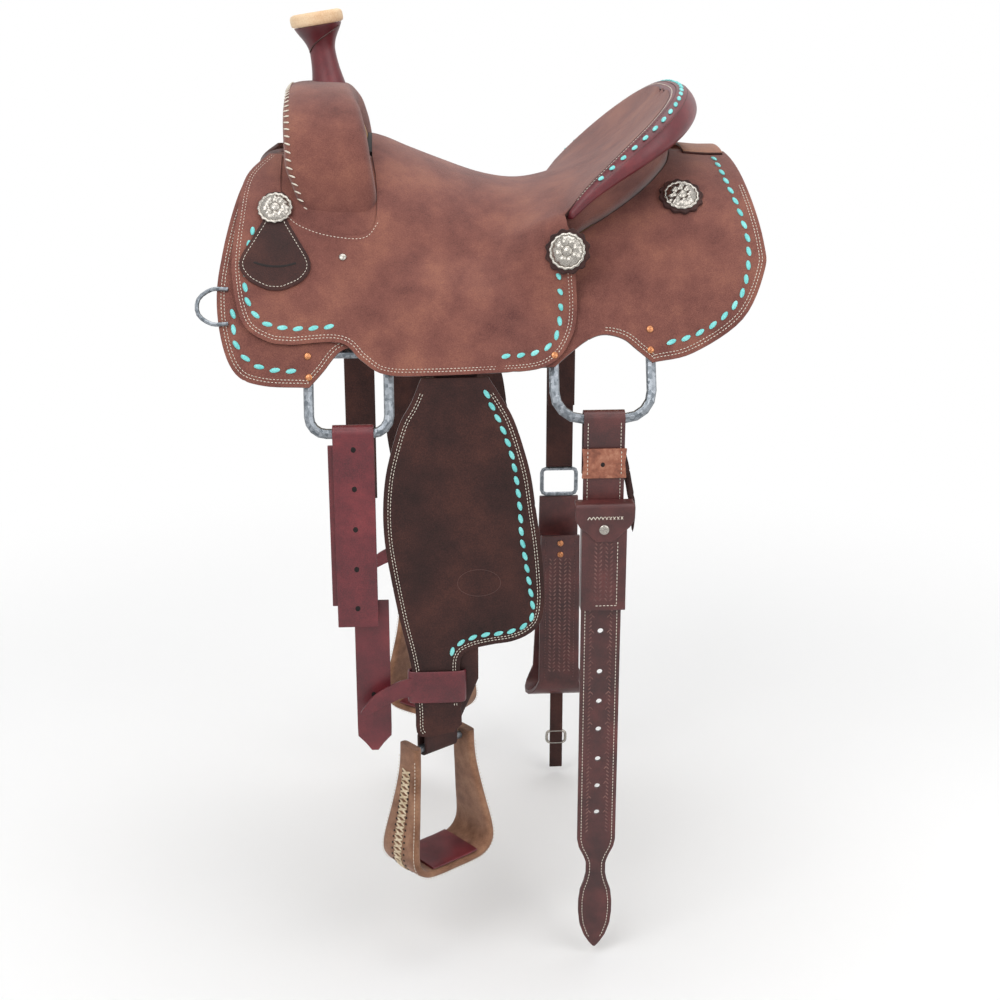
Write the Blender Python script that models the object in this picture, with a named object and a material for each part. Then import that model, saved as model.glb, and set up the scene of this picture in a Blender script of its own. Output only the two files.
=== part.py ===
# Breakaway roping saddle
# +X points to the tail, -Y is the near side and +Z is up. The origin is on the centreline, at mid length.
# Everything that lies on the saddle is placed by x, by w, the distance down the side from the centreline,
# and by d, the height above the lining's underside.
import math

import bmesh
import bpy
import numpy as np
from mathutils import Matrix, Vector

# Fit
GAP = 0.0003                 # clearance between pieces that touch
NEAR, OFF = -1, 1

# Form of the side, from the ridge down to the foot of the skirt
RIDGE_LOW = 0.015            # height of the ridge at its lowest
RIDGE_LOW_X = 0.020
RISE_FRONT, REACH_FRONT = 0.050, 0.300
RISE_REAR, REACH_REAR = 0.062, 0.260
SHOULDER = 0.170             # half width where the side turns down
FOOT_HALF_WIDTH = 0.235
FOOT_HEIGHT = -0.165
NOMINAL_RIDGE = 0.070        # ridge height at which w is measured
NET_X = np.concatenate((np.arange(-0.40, 0.049, 0.050), np.arange(0.050, 0.249, 0.025),
                        np.arange(0.250, 0.41, 0.050)))
NET_W = np.arange(0.0, 0.47, 0.036)

# Leather, fleece and wood
FLEECE = 0.010
SKIRT = 0.005
LEATHER = 0.004
BAR = 0.018
BAR_TAPER = 0.080            # length over which the bar's rear tip thins
BAR_SPAN = 0.200             # w at which a bar would thin to nothing
SKIRT_INNER_W = 0.172        # under the seat the skirt stops at the bar's edge
BAR_INNER_W, BAR_OUTER_W = 0.036, 0.168
BAR_FRONT, BAR_REAR = -0.258, 0.280

# Seat
SEAT_CROWN = [(-0.32, 0.012), (-0.265, 0.026), (-0.19, 0.046), (-0.135, 0.054), (-0.096, 0.049),
              (-0.05, 0.041), (0.0, 0.030), (0.05, 0.0225), (0.10, 0.0215), (0.14, 0.024),
              (0.18, 0.040), (0.21, 0.063), (0.24, 0.085)]
SEAT_EDGE_W = 0.240          # w at which the seat has come down to the jockey
SEAT_FRONT = -0.139
STRAP_ROOM = 0.0125          # how far the jockey stands out over the stirrup strap
STRAP_X = -0.046
STRAP_ROOM_HALF = 0.075

# Cantle
CANTLE_END_X, CANTLE_TOP_X = 0.086, 0.226
CANTLE_HALF_WIDTH = 0.178
CANTLE_END_Z, CANTLE_TOP_Z = 0.036, 0.170
CANTLE_SQUARE = 3.0          # exponent of the rim's plan
CANTLE_CLIMB = 0.85          # exponent of the rim's side view
CANTLE_BOARD = 0.018
CANTLE_LEATHER = 0.003
BINDING_OUT, BINDING_DROP = 0.031, 0.034
BINDING_END_SCALE = 0.25
BINDING_REACH = 0.0009       # from the rim out to the binding's inner edge

# Swell and horn
SWELL_TOP = 0.181
SWELL_FRONT = [(0.015, -0.196), (0.030, -0.2165), (0.050, -0.2265), (0.093, -0.240), (0.163, -0.243)]
SWELL_REAR = [(0.015, -0.155), (0.030, -0.138), (0.050, -0.133), (0.093, -0.1385), (0.137, -0.144),
              (0.163, -0.150), (0.181, -0.161)]
SWELL_FOOT = (0.151, 0.015)
SWELL_PATH = [(0.154, 0.030), (0.156, 0.055), (0.154, 0.090), (0.136, 0.130), (0.104, 0.159),
              (0.058, 0.176), (0.0, SWELL_TOP)]
SWELL_SEAT = 0.0017          # the foot bridges the bar's crown
SWELL_FOOT_STEP = 0.003
SWELL_FOOT_ROOM = 0.0040      # the cover's foot is folded under and thicker
SWELL_FOOT_ROWS = 6          # rings that must stay above the bar
SWELL_DEPTH = 0.046
SWELL_LEATHER = 0.003
HORN_X, HORN_LEAN = -0.192, math.radians(9)
NECK_RADIUS, NECK_FOOT_RADIUS = 0.016, 0.018
HORN_CAP_RADIUS, HORN_CAP = 0.0325, 0.014
HORN_HEIGHT = 0.082          # from the swell's top to the cap's top

# Conchos, rope strap keepers and breast dees, as x and w
FRONT_CONCHO, SEAT_CONCHO, REAR_CONCHO = (-0.252, 0.144), (0.088, 0.190), (0.230, 0.130)
FRONT_CONCHO_RADIUS, CONCHO_RADIUS, ROSETTE_RIM = 0.0205, 0.0215, 0.0045
KEEPER = 0.003
DEE, DEE_WIDTH, DEE_REACH, DEE_WIRE = (-0.306, 0.255), 0.040, 0.034, 0.0025
DEE_SINK = 0.0004            # the skirt is a little hollow under the flat dee

# Metal rings
RING_TUBE, RING_DROP = 0.006, 0.001
FRONT_RING_DROP, REAR_RING_DROP = 0.0012, 0.0027
FRONT_RING_X, FRONT_RING_WIDTH, FRONT_RING_TOP_W, FRONT_RING_LOW_W = -0.170, 0.105, 0.305, 0.412
REAR_RING_X, REAR_RING_WIDTH, REAR_RING_TOP_W, REAR_RING_LOW_W = 0.128, 0.127, 0.275, 0.400
FRONT_RING_CORNER, REAR_RING_CORNER, RING_TOP_CORNER = 0.020, 0.032, 0.012

# Fender, stirrup strap and stirrup
FENDER = 0.004
FENDER_Y = 0.2485            # inner face of the fender from the centreline
FENDER_TOP = -0.1395         # the fender hinges here, just under the jockey's edge
FENDER_FRONT_TOP, FENDER_REAR_TOP = -0.086, -0.008
STRAP_WIDTH = 0.050
UPPER_STRAP_W, UPPER_STRAP_END_W = 0.176, 0.3415
LEATHER_TOP, TWIST_TOP = -0.182, -0.520
TWIST_STEPS = 9              # short steps keep the twisted layers apart
HOBBLE, HOBBLE_WIDTH, HOBBLE_HALF, HOBBLE_Z = 0.003, 0.040, 0.036, -0.528
STIRRUP_TURN = math.radians(37)
STIRRUP_X, STIRRUP_Y = -0.072, 0.226
BOLT_Z, BOLT_RADIUS = -0.617, 0.005
STIRRUP_TOP_HALF, STIRRUP_LOW_HALF = 0.048, 0.066
STIRRUP_HEIGHT = 0.165
BRANCH = 0.011
BRANCH_DEPTH_TOP, TREAD_DEPTH = 0.034, 0.074

# Straps
STRAP = 0.004
LATIGO_WIDTH, LATIGO_FRONT_Z, LATIGO_TAIL_Z = 0.050, -0.444, -0.617
BILLET_WIDTH, BILLET_END_Z, BILLET_FOLD_Z = 0.049, -0.900, -0.262
OFF_FRONT_END_Z = -0.470
OFF_REAR_END_Z, OFF_REAR_WIDTH = -0.400, 0.040
TIP = 0.030                  # length of a strap's pointed end
KEEPER_TOP_Z, KEEPER_LOW_Z = -0.226, -0.262
KEEPER_WIDTH = 0.053
POUCH_TOP_Z, POUCH_LOW_Z, POUCH_WIDTH, POUCH_DEPTH = -0.292, -0.424, 0.054, 0.018
POUCH_WALL = 0.003
FLAP_DROP, FLAP_WIDTH = 0.046, 0.070
BUCKLE_WIDTH, BUCKLE_HEIGHT, BUCKLE_BAR = 0.052, 0.040, 0.003
CINCH, CINCH_LOW_Z, CINCH_RETURN_Z = 0.006, -0.770, -0.500
CINCH_END_WIDTH, CINCH_MID_WIDTH, CINCH_FOLD, CINCH_LEAN = 0.059, 0.100, 0.060, 0.029
TIE_WIDTH, TIE_END_Z = 0.020, -0.905

# Outlines cut from flat leather, as x and w
SKIRT_TOP_W = 0.030          # the skirts stop at the open channel
FORK_FRONT = -0.247          # the skirt's edge in front of the fork
FLEECE_LOW_W = 0.318
RING_ROOM = 0.012            # how far above a ring the lining stops
CONNECTOR_X, CONNECTOR_W = 0.244, 0.046
SKIRT_FRONT_EDGE = [(-0.255, 0.030), (-0.285, 0.082), (-0.305, 0.152), (-0.319, 0.230), (-0.315, 0.291),
                    (-0.299, 0.332), (-0.268, 0.346), (-0.215, 0.349)]
FRONT_ARCH = [(-0.215, 0.349), (-0.199, 0.331), (-0.179, 0.306), (-0.158, 0.300), (-0.138, 0.312),
              (-0.122, 0.324)]
REAR_ARCH = [(0.070, 0.324), (0.090, 0.305), (0.110, 0.290), (0.129, 0.285), (0.151, 0.293),
             (0.167, 0.308), (0.185, 0.325)]
SKIRT_REAR_EDGE = [(0.185, 0.325), (0.234, 0.316), (0.293, 0.280), (0.322, 0.225), (0.324, 0.190),
                   (0.312, 0.111), (0.300, 0.030)]
JOCKEY_FRONT = [(-0.262, 0.060), (-0.288, 0.095), (-0.297, 0.152), (-0.302, 0.215), (-0.290, 0.274),
                (-0.262, 0.296), (-0.234, 0.300)]
SWELL_CUT = [(-0.250, 0.070), (-0.249, 0.130), (-0.234, 0.170), (-0.205, 0.184), (-0.174, 0.188),
             (-0.145, 0.182),
             (-0.128, 0.160), (-0.130, 0.110), (-0.135, 0.070)]
JOCKEY_LOW = [(-0.234, 0.300), (-0.178, 0.296), (-0.155, 0.316), (-0.128, 0.334), (-0.077, 0.337),
              (0.030, 0.331),
              (0.070, 0.317), (0.091, 0.285), (0.098, 0.250), (0.096, 0.208)]
FENDER_REAR = [(0.012, -0.182), (0.032, -0.235), (0.044, -0.300), (0.054, -0.380), (0.058, -0.425),
               (0.048, -0.462), (0.014, -0.478), (-0.022, -0.486), (-0.040, -0.505), (-0.042, -0.580)]
FENDER_FRONT = [(-0.098, -0.596), (-0.100, -0.505), (-0.112, -0.440), (-0.128, -0.360), (-0.133, -0.296),
                (-0.124, -0.225), (-0.104, -0.180)]
KEEPER_HALF = [(0.0, -0.020), (0.012, -0.016), (0.013, 0.010), (0.024, 0.030), (0.041, 0.060),
               (0.033, 0.080), (0.012, 0.092), (0.0, 0.094)]

ROUGHOUT, DARK_ROUGHOUT, BURGUNDY = (0.48, 0.29, 0.26), (0.29, 0.16, 0.15), (0.42, 0.13, 0.16)
SILVER, STEEL, WOOD, WOOL = (0.75, 0.74, 0.72), (0.60, 0.62, 0.65), (0.72, 0.60, 0.42), (0.82, 0.74, 0.60)
PALE, SUEDE, DARK = (0.89, 0.76, 0.63), (0.60, 0.44, 0.34), (0.10, 0.07, 0.06)


# General modelling
def material(name, colour, roughness=0.7, metallic=0.0):
    found = bpy.data.materials.get(name)
    if found:
        return found
    made = bpy.data.materials.new(name)
    made.use_nodes = True
    shader = made.node_tree.nodes["Principled BSDF"]
    shader.inputs["Base Color"].default_value = (*colour, 1.0)
    shader.inputs["Roughness"].default_value = roughness
    shader.inputs["Metallic"].default_value = metallic
    return made


def finish_mesh(name, bm, colour, roughness=0.7, metallic=0.0, pivot=None):
    bmesh.ops.recalc_face_normals(bm, faces=bm.faces[:])
    mesh = bpy.data.meshes.new(name)
    if pivot is not None:
        bmesh.ops.translate(bm, verts=bm.verts[:], vec=-Vector(pivot))
    bm.to_mesh(mesh)
    bm.free()
    mesh.materials.append(material(name + "_finish", colour, roughness, metallic))
    mesh.shade_smooth()
    mesh.set_sharp_from_angle(angle=math.radians(35))
    made = bpy.data.objects.new(name, mesh)
    bpy.context.collection.objects.link(made)
    if pivot is not None:
        made.location = pivot
    return made


def smooth(points, steps=3):
    # A curve through the points, with an even tangent at each
    pts = [Vector((*p, 0.0)[:3]) for p in points]
    pts = [2 * pts[0] - pts[1]] + pts + [2 * pts[-1] - pts[-2]]
    out = []
    for a, b, c, e in zip(pts, pts[1:], pts[2:], pts[3:]):
        for k in range(steps):
            u = k / steps
            out.append(0.5 * (2 * b + (c - a) * u + (2 * a - 5 * b + 4 * c - e) * u * u
                              + (3 * b - a - 3 * c + e) * u ** 3))
    out.append(pts[-2])
    return [tuple(p[:len(points[0])]) for p in out]


def outline(*runs):
    out = []
    for run in runs:
        for p in run:
            if not out or math.dist(p, out[-1]) > 1e-5:
                out.append(p)
    if math.dist(out[0], out[-1]) < 1e-5:
        out.pop()
    return out


def interpolate(table, x):
    return float(np.interp(x, [p[0] for p in table], [p[1] for p in table]))


def ease(u):
    u = min(max(u, 0.0), 1.0)
    return u * u * (3 - 2 * u)


def loft(name, rings, colour, closed=False, short_splits=False, **finish):
    bm = bmesh.new()
    rows = [[bm.verts.new(p) for p in ring] for ring in rings]
    pairs = list(zip(rows, rows[1:] + rows[:1])) if closed else list(zip(rows, rows[1:]))
    for a, b in pairs:
        for i in range(len(a)):
            j = (i + 1) % len(a)
            loop = (a[i], a[j], b[j], b[i])
            if short_splits and (a[i].co - b[j].co).length > (a[j].co - b[i].co).length:
                loop = loop[1:] + loop[:1]
            bm.faces.new(loop[:3])
            bm.faces.new(loop[2:] + loop[:1])
    if not closed:
        bm.faces.new(rows[0])
        bm.faces.new(rows[-1])
    return finish_mesh(name, bm, colour, **finish)


def turned(name, profile, place, colour, closed=False, sides=24, **finish):
    rings = [[place @ Vector((r * math.cos(a), r * math.sin(a), h))
              for a in (2 * math.pi * k / sides for k in range(sides))] for r, h in profile]
    return loft(name, rings, colour, closed=closed, **finish)


def tube(name, route, radius, colour, closed=True, sides=8, **finish):
    pts = [Vector(p) for p in route]
    count = len(pts)
    rings = []
    plane = (pts[1] - pts[0]).cross(pts[count // 2] - pts[0]).normalized()
    for i, p in enumerate(pts):
        before = pts[i - 1] if closed or i else p
        after = pts[(i + 1) % count] if closed or i < count - 1 else p
        along = (after - before).normalized()
        across = along.cross(plane).normalized()
        up = across.cross(along)
        rings.append([p + radius * (math.cos(a) * across + math.sin(a) * up)
                      for a in (2 * math.pi * k / sides for k in range(sides))])
    return loft(name, rings, colour, closed=closed, **finish)


def plate(name, loop, place, low, high, colour, **finish):
    # A flat outline in x and y of its own frame, from height low to height high
    rings = [[place @ Vector((x, y, h)) for x, y in loop] for h in (low, high)]
    return loft(name, rings, colour, **finish)


def ribbon(name, route, width, thick, x, colour, **finish):
    # A strap along a route of y and z, as wide along X as width(share of the length) says
    pts = [Vector((0.0, y, z)) for y, z in route]
    rings = []
    for i, p in enumerate(pts):
        along = (pts[min(i + 1, len(pts) - 1)] - pts[max(i - 1, 0)]).normalized()
        side = Vector((1.0, 0.0, 0.0)).cross(along) * thick / 2
        half = Vector((width(i / (len(pts) - 1)) / 2, 0.0, 0.0))
        centre = p + Vector((x, 0.0, 0.0))
        rings.append([centre - half - side, centre + half - side, centre + half + side,
                      centre - half + side])
    return loft(name, rings, colour, **finish)


# Form of the side
def ridge(x):
    rise, reach = (RISE_FRONT, REACH_FRONT) if x < RIDGE_LOW_X else (RISE_REAR, REACH_REAR)
    u = min(abs(x - RIDGE_LOW_X) / reach, 1.0)
    return RIDGE_LOW + rise * (1 - math.cos(math.pi * u)) / 2


def section(t, top):
    y = 2 * t * (1 - t) * SHOULDER + t * t * FOOT_HALF_WIDTH
    return y, top - t * t * (top - FOOT_HEIGHT)


SHARES = np.linspace(0.0, 1.5, 301)
NOMINAL = np.array([section(t, NOMINAL_RIDGE) for t in SHARES])
GIRTH = np.concatenate(([0.0], np.cumsum(np.hypot(*np.diff(NOMINAL, axis=0).T))))


def on_side(x, w, d):
    t = float(np.interp(abs(w), GIRTH, SHARES))
    hand = -1.0 if w < 0 else 1.0
    top = ridge(x)
    y, z = section(t, top)
    slope_y = 2 * (1 - 2 * t) * SHOULDER + 2 * t * FOOT_HALF_WIDTH
    slope_z = -2 * t * (top - FOOT_HEIGHT)
    length = math.hypot(slope_y, slope_z)
    return Vector((x, hand * (y - slope_z / length * d), z + slope_y / length * d))


def drape(x, w, height):
    # The side as a net of flat triangles, so that layers with one net nest exactly
    hand = -1.0 if w < 0 else 1.0
    i = int(np.searchsorted(NET_X, x + 1e-7)) - 1
    j = int(np.searchsorted(NET_W, abs(w) + 1e-7)) - 1
    u = (x - NET_X[i]) / (NET_X[i + 1] - NET_X[i])
    v = (abs(w) - NET_W[j]) / (NET_W[j + 1] - NET_W[j])

    def corner(a, b):
        cx, cw = float(NET_X[i + a]), hand * float(NET_W[j + b])
        return on_side(cx, cw, height(cx, cw))

    if u >= v:
        return corner(0, 0) * (1 - u) + corner(1, 0) * (u - v) + corner(1, 1) * v
    return corner(0, 0) * (1 - v) + corner(0, 1) * (v - u) + corner(1, 1) * u


def locate(x, y, z):
    # The w and d of a point above the side
    def miss(w):
        return (on_side(x, w, 0.0) - Vector((x, y, z))).length
    low, high = 0.0, 0.36
    for _ in range(50):
        a, b = low + (high - low) / 3, high - (high - low) / 3
        low, high = (low, b) if miss(a) < miss(b) else (a, high)
    return low, miss(low)


def sheet(name, loop, low, high, colour, **finish):
    # An outline in x and w, cut along the net and draped between two heights
    bm = bmesh.new()
    bm.faces.new([bm.verts.new((x, w, 0.0)) for x, w in loop])

    def cut(faces, point, normal):
        parts = (faces + list({e for f in faces for e in f.edges})
                 + list({v for f in faces for v in f.verts}))
        bmesh.ops.bisect_plane(bm, geom=parts, dist=1e-6, plane_co=point, plane_no=normal)

    for x in NET_X:
        cut(bm.faces[:], (x, 0, 0), (1, 0, 0))
    for w in NET_W:
        cut(bm.faces[:], (0, w, 0), (0, 1, 0))
        cut(bm.faces[:], (0, -w, 0), (0, 1, 0))
    cells = {}
    for face in bm.faces:
        middle = face.calc_center_median()
        key = (int(np.searchsorted(NET_X, middle.x)) - 1,
               int(np.searchsorted(NET_W, abs(middle.y))) - 1, middle.y > 0)
        cells.setdefault(key, []).append(face)
    for (i, j, off), faces in cells.items():
        hand = 1 if off else -1
        corner = (NET_X[i], hand * NET_W[j], 0)
        cut(faces, corner, (NET_W[j + 1] - NET_W[j], -hand * (NET_X[i + 1] - NET_X[i]), 0))
    bmesh.ops.remove_doubles(bm, verts=bm.verts[:], dist=0.0001)
    lower = bm.verts[:]
    upper = [g for g in bmesh.ops.extrude_face_region(bm, geom=bm.faces[:])["geom"]
             if isinstance(g, bmesh.types.BMVert)]
    for verts, height in ((lower, low), (upper, high)):
        for v in verts:
            v.co = drape(v.co.x, v.co.y, height)
    bmesh.ops.triangulate(bm, faces=bm.faces[:])
    return finish_mesh(name, bm, colour, **finish)


# Heights of the layers: fleece, bar, skirt, seat
BAR_LOW = FLEECE + GAP
JOCKEY_BASE = BAR_LOW + GAP + SKIRT + GAP


def level(d):
    return lambda x, w: d


def bar_high(x, w):
    thin = 1 - 0.75 * ease((x - BAR_REAR + BAR_TAPER) / BAR_TAPER)
    return BAR_LOW + BAR * thin * max(1 - (w / BAR_SPAN) ** 2, 0.0)


def over_bar(x, w):
    return bar_high(x, w) + GAP


def skirt_high(x, w):
    return over_bar(x, w) + SKIRT


def bed(x, w):
    # What the cantle and the ground seat stand on: the bar inside, the skirt outside
    return over_bar(x, w) if abs(w) < SKIRT_INNER_W - 0.036 else skirt_high(x, w) + GAP


def rim(angle):
    # A point of the cantle's rim, from -90 degrees at the near end to 90 at the off end
    c, s = abs(math.cos(angle)), abs(math.sin(angle))
    x_share, y_share = c ** (2 / CANTLE_SQUARE), s ** (2 / CANTLE_SQUARE)
    x = CANTLE_END_X + (CANTLE_TOP_X - CANTLE_END_X) * x_share
    z = CANTLE_END_Z + (CANTLE_TOP_Z - CANTLE_END_Z) * x_share ** CANTLE_CLIMB
    w, d = locate(x, CANTLE_HALF_WIDTH * y_share, z)
    return x, math.copysign(w, angle), d


RIM_STEPS = 20
RIM = [rim(math.pi * (k / RIM_STEPS - 0.5)) for k in range(RIM_STEPS + 1)]
RIM_HALF = RIM[RIM_STEPS // 2:]
RIM_X = [p[0] for p in reversed(RIM_HALF)]
RIM_W = [abs(p[1]) for p in reversed(RIM_HALF)]
RIM_D = [p[2] for p in reversed(RIM_HALF)]


def jockey_low(x, w):
    room = STRAP_ROOM / (1 + ((x - STRAP_X) / STRAP_ROOM_HALF) ** 6)
    return JOCKEY_BASE + room * ease((abs(w) - 0.16) / 0.08)


def seat_low(x, w):
    # Underside of the seat and its jockeys: a crowned saddle in front, a dish up to the rim behind
    crown = interpolate(SEAT_CROWN, x)
    side = jockey_low(x, w)
    share = min(abs(w) / SEAT_EDGE_W, 1.0)
    plain = side + crown * (1 - share ** 2) ** 2
    rim_w = float(np.interp(x, RIM_X, RIM_W))
    rim_d = float(np.interp(x, RIM_X, RIM_D)) - LEATHER
    centre = JOCKEY_BASE + crown
    if abs(w) <= rim_w:
        dish = centre + (rim_d - centre) * (abs(w) / max(rim_w, 0.02)) ** 2.4
    else:
        dish = side + (rim_d - side) * (1 - ease((abs(w) - rim_w) / max(SEAT_EDGE_W + 0.02 - rim_w, 0.02)))
    height = plain + (dish - plain) * ease((x + 0.02) / (CANTLE_END_X + 0.02))
    return max(height, skirt_high(x, w) + GAP)


def seat_high(x, w):
    return seat_low(x, w) + LEATHER


def under_seat(x, w):
    return max(seat_low(x, w) - GAP, bed(x, w) + GAP)


def inset_rim(distance, points=None):
    # The rim moved inward in plan by a distance, or outward when it is negative
    points = points or RIM
    out = []
    for k, (x, w, _) in enumerate(points):
        a, b = points[max(k - 1, 0)], points[min(k + 1, len(points) - 1)]
        along = Vector((b[0] - a[0], b[1] - a[1])).normalized()
        out.append((x - along.y * distance, w + along.x * distance))
    return out


def mirrored(points):
    return [(x, -w) for x, w in reversed(points)]


# Lining, skirts and tree
def handed(loop, hand):
    return [(x, w * hand) for x, w in loop]


def rim_behind(distance, least_w):
    # The rim's off half moved out by a distance, from the centre to its end
    return [(x, w) for x, w in inset_rim(-distance) if w > least_w]


def make_skirts():
    bar_loop = outline(smooth([(BAR_FRONT, 0.075), (BAR_FRONT + 0.012, 0.050),
                               (BAR_FRONT + 0.040, BAR_INNER_W)]),
                       smooth([(BAR_REAR - 0.040, BAR_INNER_W), (BAR_REAR - 0.008, 0.055),
                               (BAR_REAR, 0.090),
                               (BAR_REAR - 0.015, 0.140), (BAR_REAR - 0.060, BAR_OUTER_W)]),
                       smooth([(BAR_FRONT + 0.060, BAR_OUTER_W), (BAR_FRONT + 0.012, 0.140),
                               (BAR_FRONT, 0.075)]))
    front, rear = smooth(SKIRT_FRONT_EDGE), smooth(SKIRT_REAR_EDGE)
    step = 0.003
    notches = []
    for x, width, top in ((FRONT_RING_X, FRONT_RING_WIDTH, FRONT_RING_TOP_W),
                          (REAR_RING_X, REAR_RING_WIDTH, REAR_RING_TOP_W)):
        half, high = width / 2 + step, top - RING_TUBE - RING_ROOM
        notches += [(x - half, FLEECE_LOW_W), (x - half, high), (x + half, high), (x + half, FLEECE_LOW_W)]
    fleece = outline([(x + step, w) for x, w in front if w < FLEECE_LOW_W], notches,
                     [(x - step, w) for x, w in rear if w < FLEECE_LOW_W])
    inner = outline([(rear[-1][0] - 0.002, SKIRT_TOP_W)], rim_behind(CANTLE_LEATHER + 3 * GAP, SKIRT_TOP_W))
    inner = [p for p in inner if p[1] < SKIRT_INNER_W]
    skirt = outline(front, smooth(FRONT_ARCH), smooth(REAR_ARCH), rear, inner,
                    [(inner[-1][0] - 0.010, SKIRT_INNER_W), (FORK_FRONT, SKIRT_INNER_W),
                     (FORK_FRONT, SKIRT_TOP_W)])
    for side, hand in (("near", NEAR), ("off", OFF)):
        sheet("fleece_" + side, handed(fleece, hand), level(0.0), level(FLEECE), WOOL, roughness=0.95)
        sheet("tree_bar_" + side, handed(bar_loop, hand), level(BAR_LOW), bar_high, WOOD)
        sheet("skirt_" + side, handed(skirt, hand), over_bar, skirt_high, ROUGHOUT)
    reach = rear[-1][0] - 0.004
    strip = [(reach, -CONNECTOR_W), (reach, CONNECTOR_W), (CONNECTOR_X, CONNECTOR_W),
             (CONNECTOR_X, -CONNECTOR_W)]
    sheet("skirt_connector", strip, lambda x, w: skirt_high(x, w) + GAP,
          lambda x, w: skirt_high(x, w) + GAP + 0.003, BURGUNDY)


def make_cantle():
    outer, inner = inset_rim(0.0015), inset_rim(0.0015 + CANTLE_BOARD)
    sheet("cantle_board", outline(outer, inner[::-1]), bed, under_seat, WOOD)
    seat_rear = inset_rim(0.0015 + CANTLE_BOARD + GAP * 2)
    seat_rear = [p for p in seat_rear if p[0] > CANTLE_END_X - 0.004]
    half = [(SEAT_FRONT + 0.010, 0.0), (SEAT_FRONT + 0.012, 0.060), (SEAT_FRONT + 0.018, 0.130),
            (0.060, 0.130)]
    sheet("ground_seat", outline(seat_rear, half[::-1], handed(half, NEAR)), over_bar, under_seat, PALE)
    back = outline(inset_rim(-GAP), inset_rim(-GAP - CANTLE_LEATHER)[::-1])
    sheet("cantle_back", back, bed, lambda x, w: max(seat_low(x, w), bed(x, w) + 0.004), ROUGHOUT)
    trim = [(SEAT_FRONT - 0.005, -0.060), (SEAT_FRONT - 0.005, 0.060), (SEAT_FRONT - GAP, 0.060),
            (SEAT_FRONT - GAP, -0.060)]
    sheet("seat_front_trim", trim, lambda x, w: seat_low(x, w) - 0.008, seat_high, DARK)


def make_binding():
    profile = [(0.0, 0.0015), (0.010, 0.0055), (0.022, 0.001), (0.031, -0.011), (0.035, -0.024),
               (0.031, -0.034),
               (0.026, -0.028), (0.020, -0.014), (0.011, -0.005), (0.0, -0.0035)]
    rings = []
    for k, (x, w, d) in enumerate(RIM):
        a, b = RIM[max(k - 1, 0)], RIM[min(k + 1, RIM_STEPS)]
        along = Vector((b[0] - a[0], b[1] - a[1])).normalized()
        share = abs(math.sin(math.pi * k / RIM_STEPS))
        scale = BINDING_END_SCALE + (1 - BINDING_END_SCALE) * share ** 0.8
        ring = []
        for out, up in profile:
            reach = BINDING_REACH + out * scale * BINDING_OUT / 0.031
            ring.append(on_side(x + along.y * reach, w - along.x * reach,
                                d + up * scale * BINDING_DROP / 0.034))
        rings.append(ring)
    loft("cantle_binding", rings, BURGUNDY, roughness=0.4)


def make_seat():
    front = smooth(JOCKEY_FRONT)
    low = smooth(JOCKEY_LOW)
    foot = smooth(SWELL_CUT)
    rim_off = [(x, w) for x, w, _ in RIM if w > 0.01][::-1]
    half = outline(front[::1], low, rim_off, [(CANTLE_TOP_X, 0.0)])
    inner = outline([(SEAT_FRONT, 0.0)], foot[::-1])
    off = outline(inner, half)
    near = mirrored(half)
    loop = outline(off, near[1:], mirrored(inner)[:-1])
    sheet("seat_leather", loop, seat_low, seat_high, ROUGHOUT)


# Swell and horn
def bar_top_z(x, y):
    low, high = 0.0, 0.30
    for _ in range(40):
        mid = (low + high) / 2
        low, high = (mid, high) if drape(x, mid, over_bar).y < abs(y) else (low, mid)
    return drape(x, low, over_bar).z + SWELL_SEAT


def swell_rings(leather, depth, foot_room=0.0, foot_wrap=0.8):
    # Rings across the swell, from the near foot over the top to the off foot
    half = [SWELL_FOOT] + smooth(SWELL_PATH, 2)
    path = [(-y, z) for y, z in half] + [p for p in reversed(half[:-1])]
    rings = []
    for i, (y, z) in enumerate(path):
        a, b = path[max(i - 1, 0)], path[min(i + 1, len(path) - 1)]
        along = Vector((b[0] - a[0], b[1] - a[1])).normalized()
        out = Vector((-along.y, along.x))
        row = min(i, len(path) - 1 - i)
        skin = leather + (foot_room if row < 5 else 0.0)
        wrap = depth * (foot_wrap if row < 5 else 0.8)
        front, rear = interpolate(SWELL_FRONT, z), interpolate(SWELL_REAR, z)
        mid, half_x = (front + rear) / 2, (rear - front) / 2 - skin
        ring = []
        for s, inward in ((-0.86, depth), (-1.0, wrap), (-1.0, depth * 0.35), (-0.9, 0.010),
                          (-0.55, 0.0015), (0.0, 0.0),
                          (0.55, 0.0015), (0.9, 0.010), (1.0, depth * 0.35), (1.0, wrap), (0.86, depth)):
            reach = inward + skin if inward < depth else inward
            ring.append(Vector((mid + s * half_x, y - out.x * reach, z - out.y * reach)))
        if row < SWELL_FOOT_ROWS:
            for p in ring:
                p.z = max(p.z if row else -1.0, bar_top_z(p.x, p.y) + row * SWELL_FOOT_STEP)
        rings.append(ring)
    return rings


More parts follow.
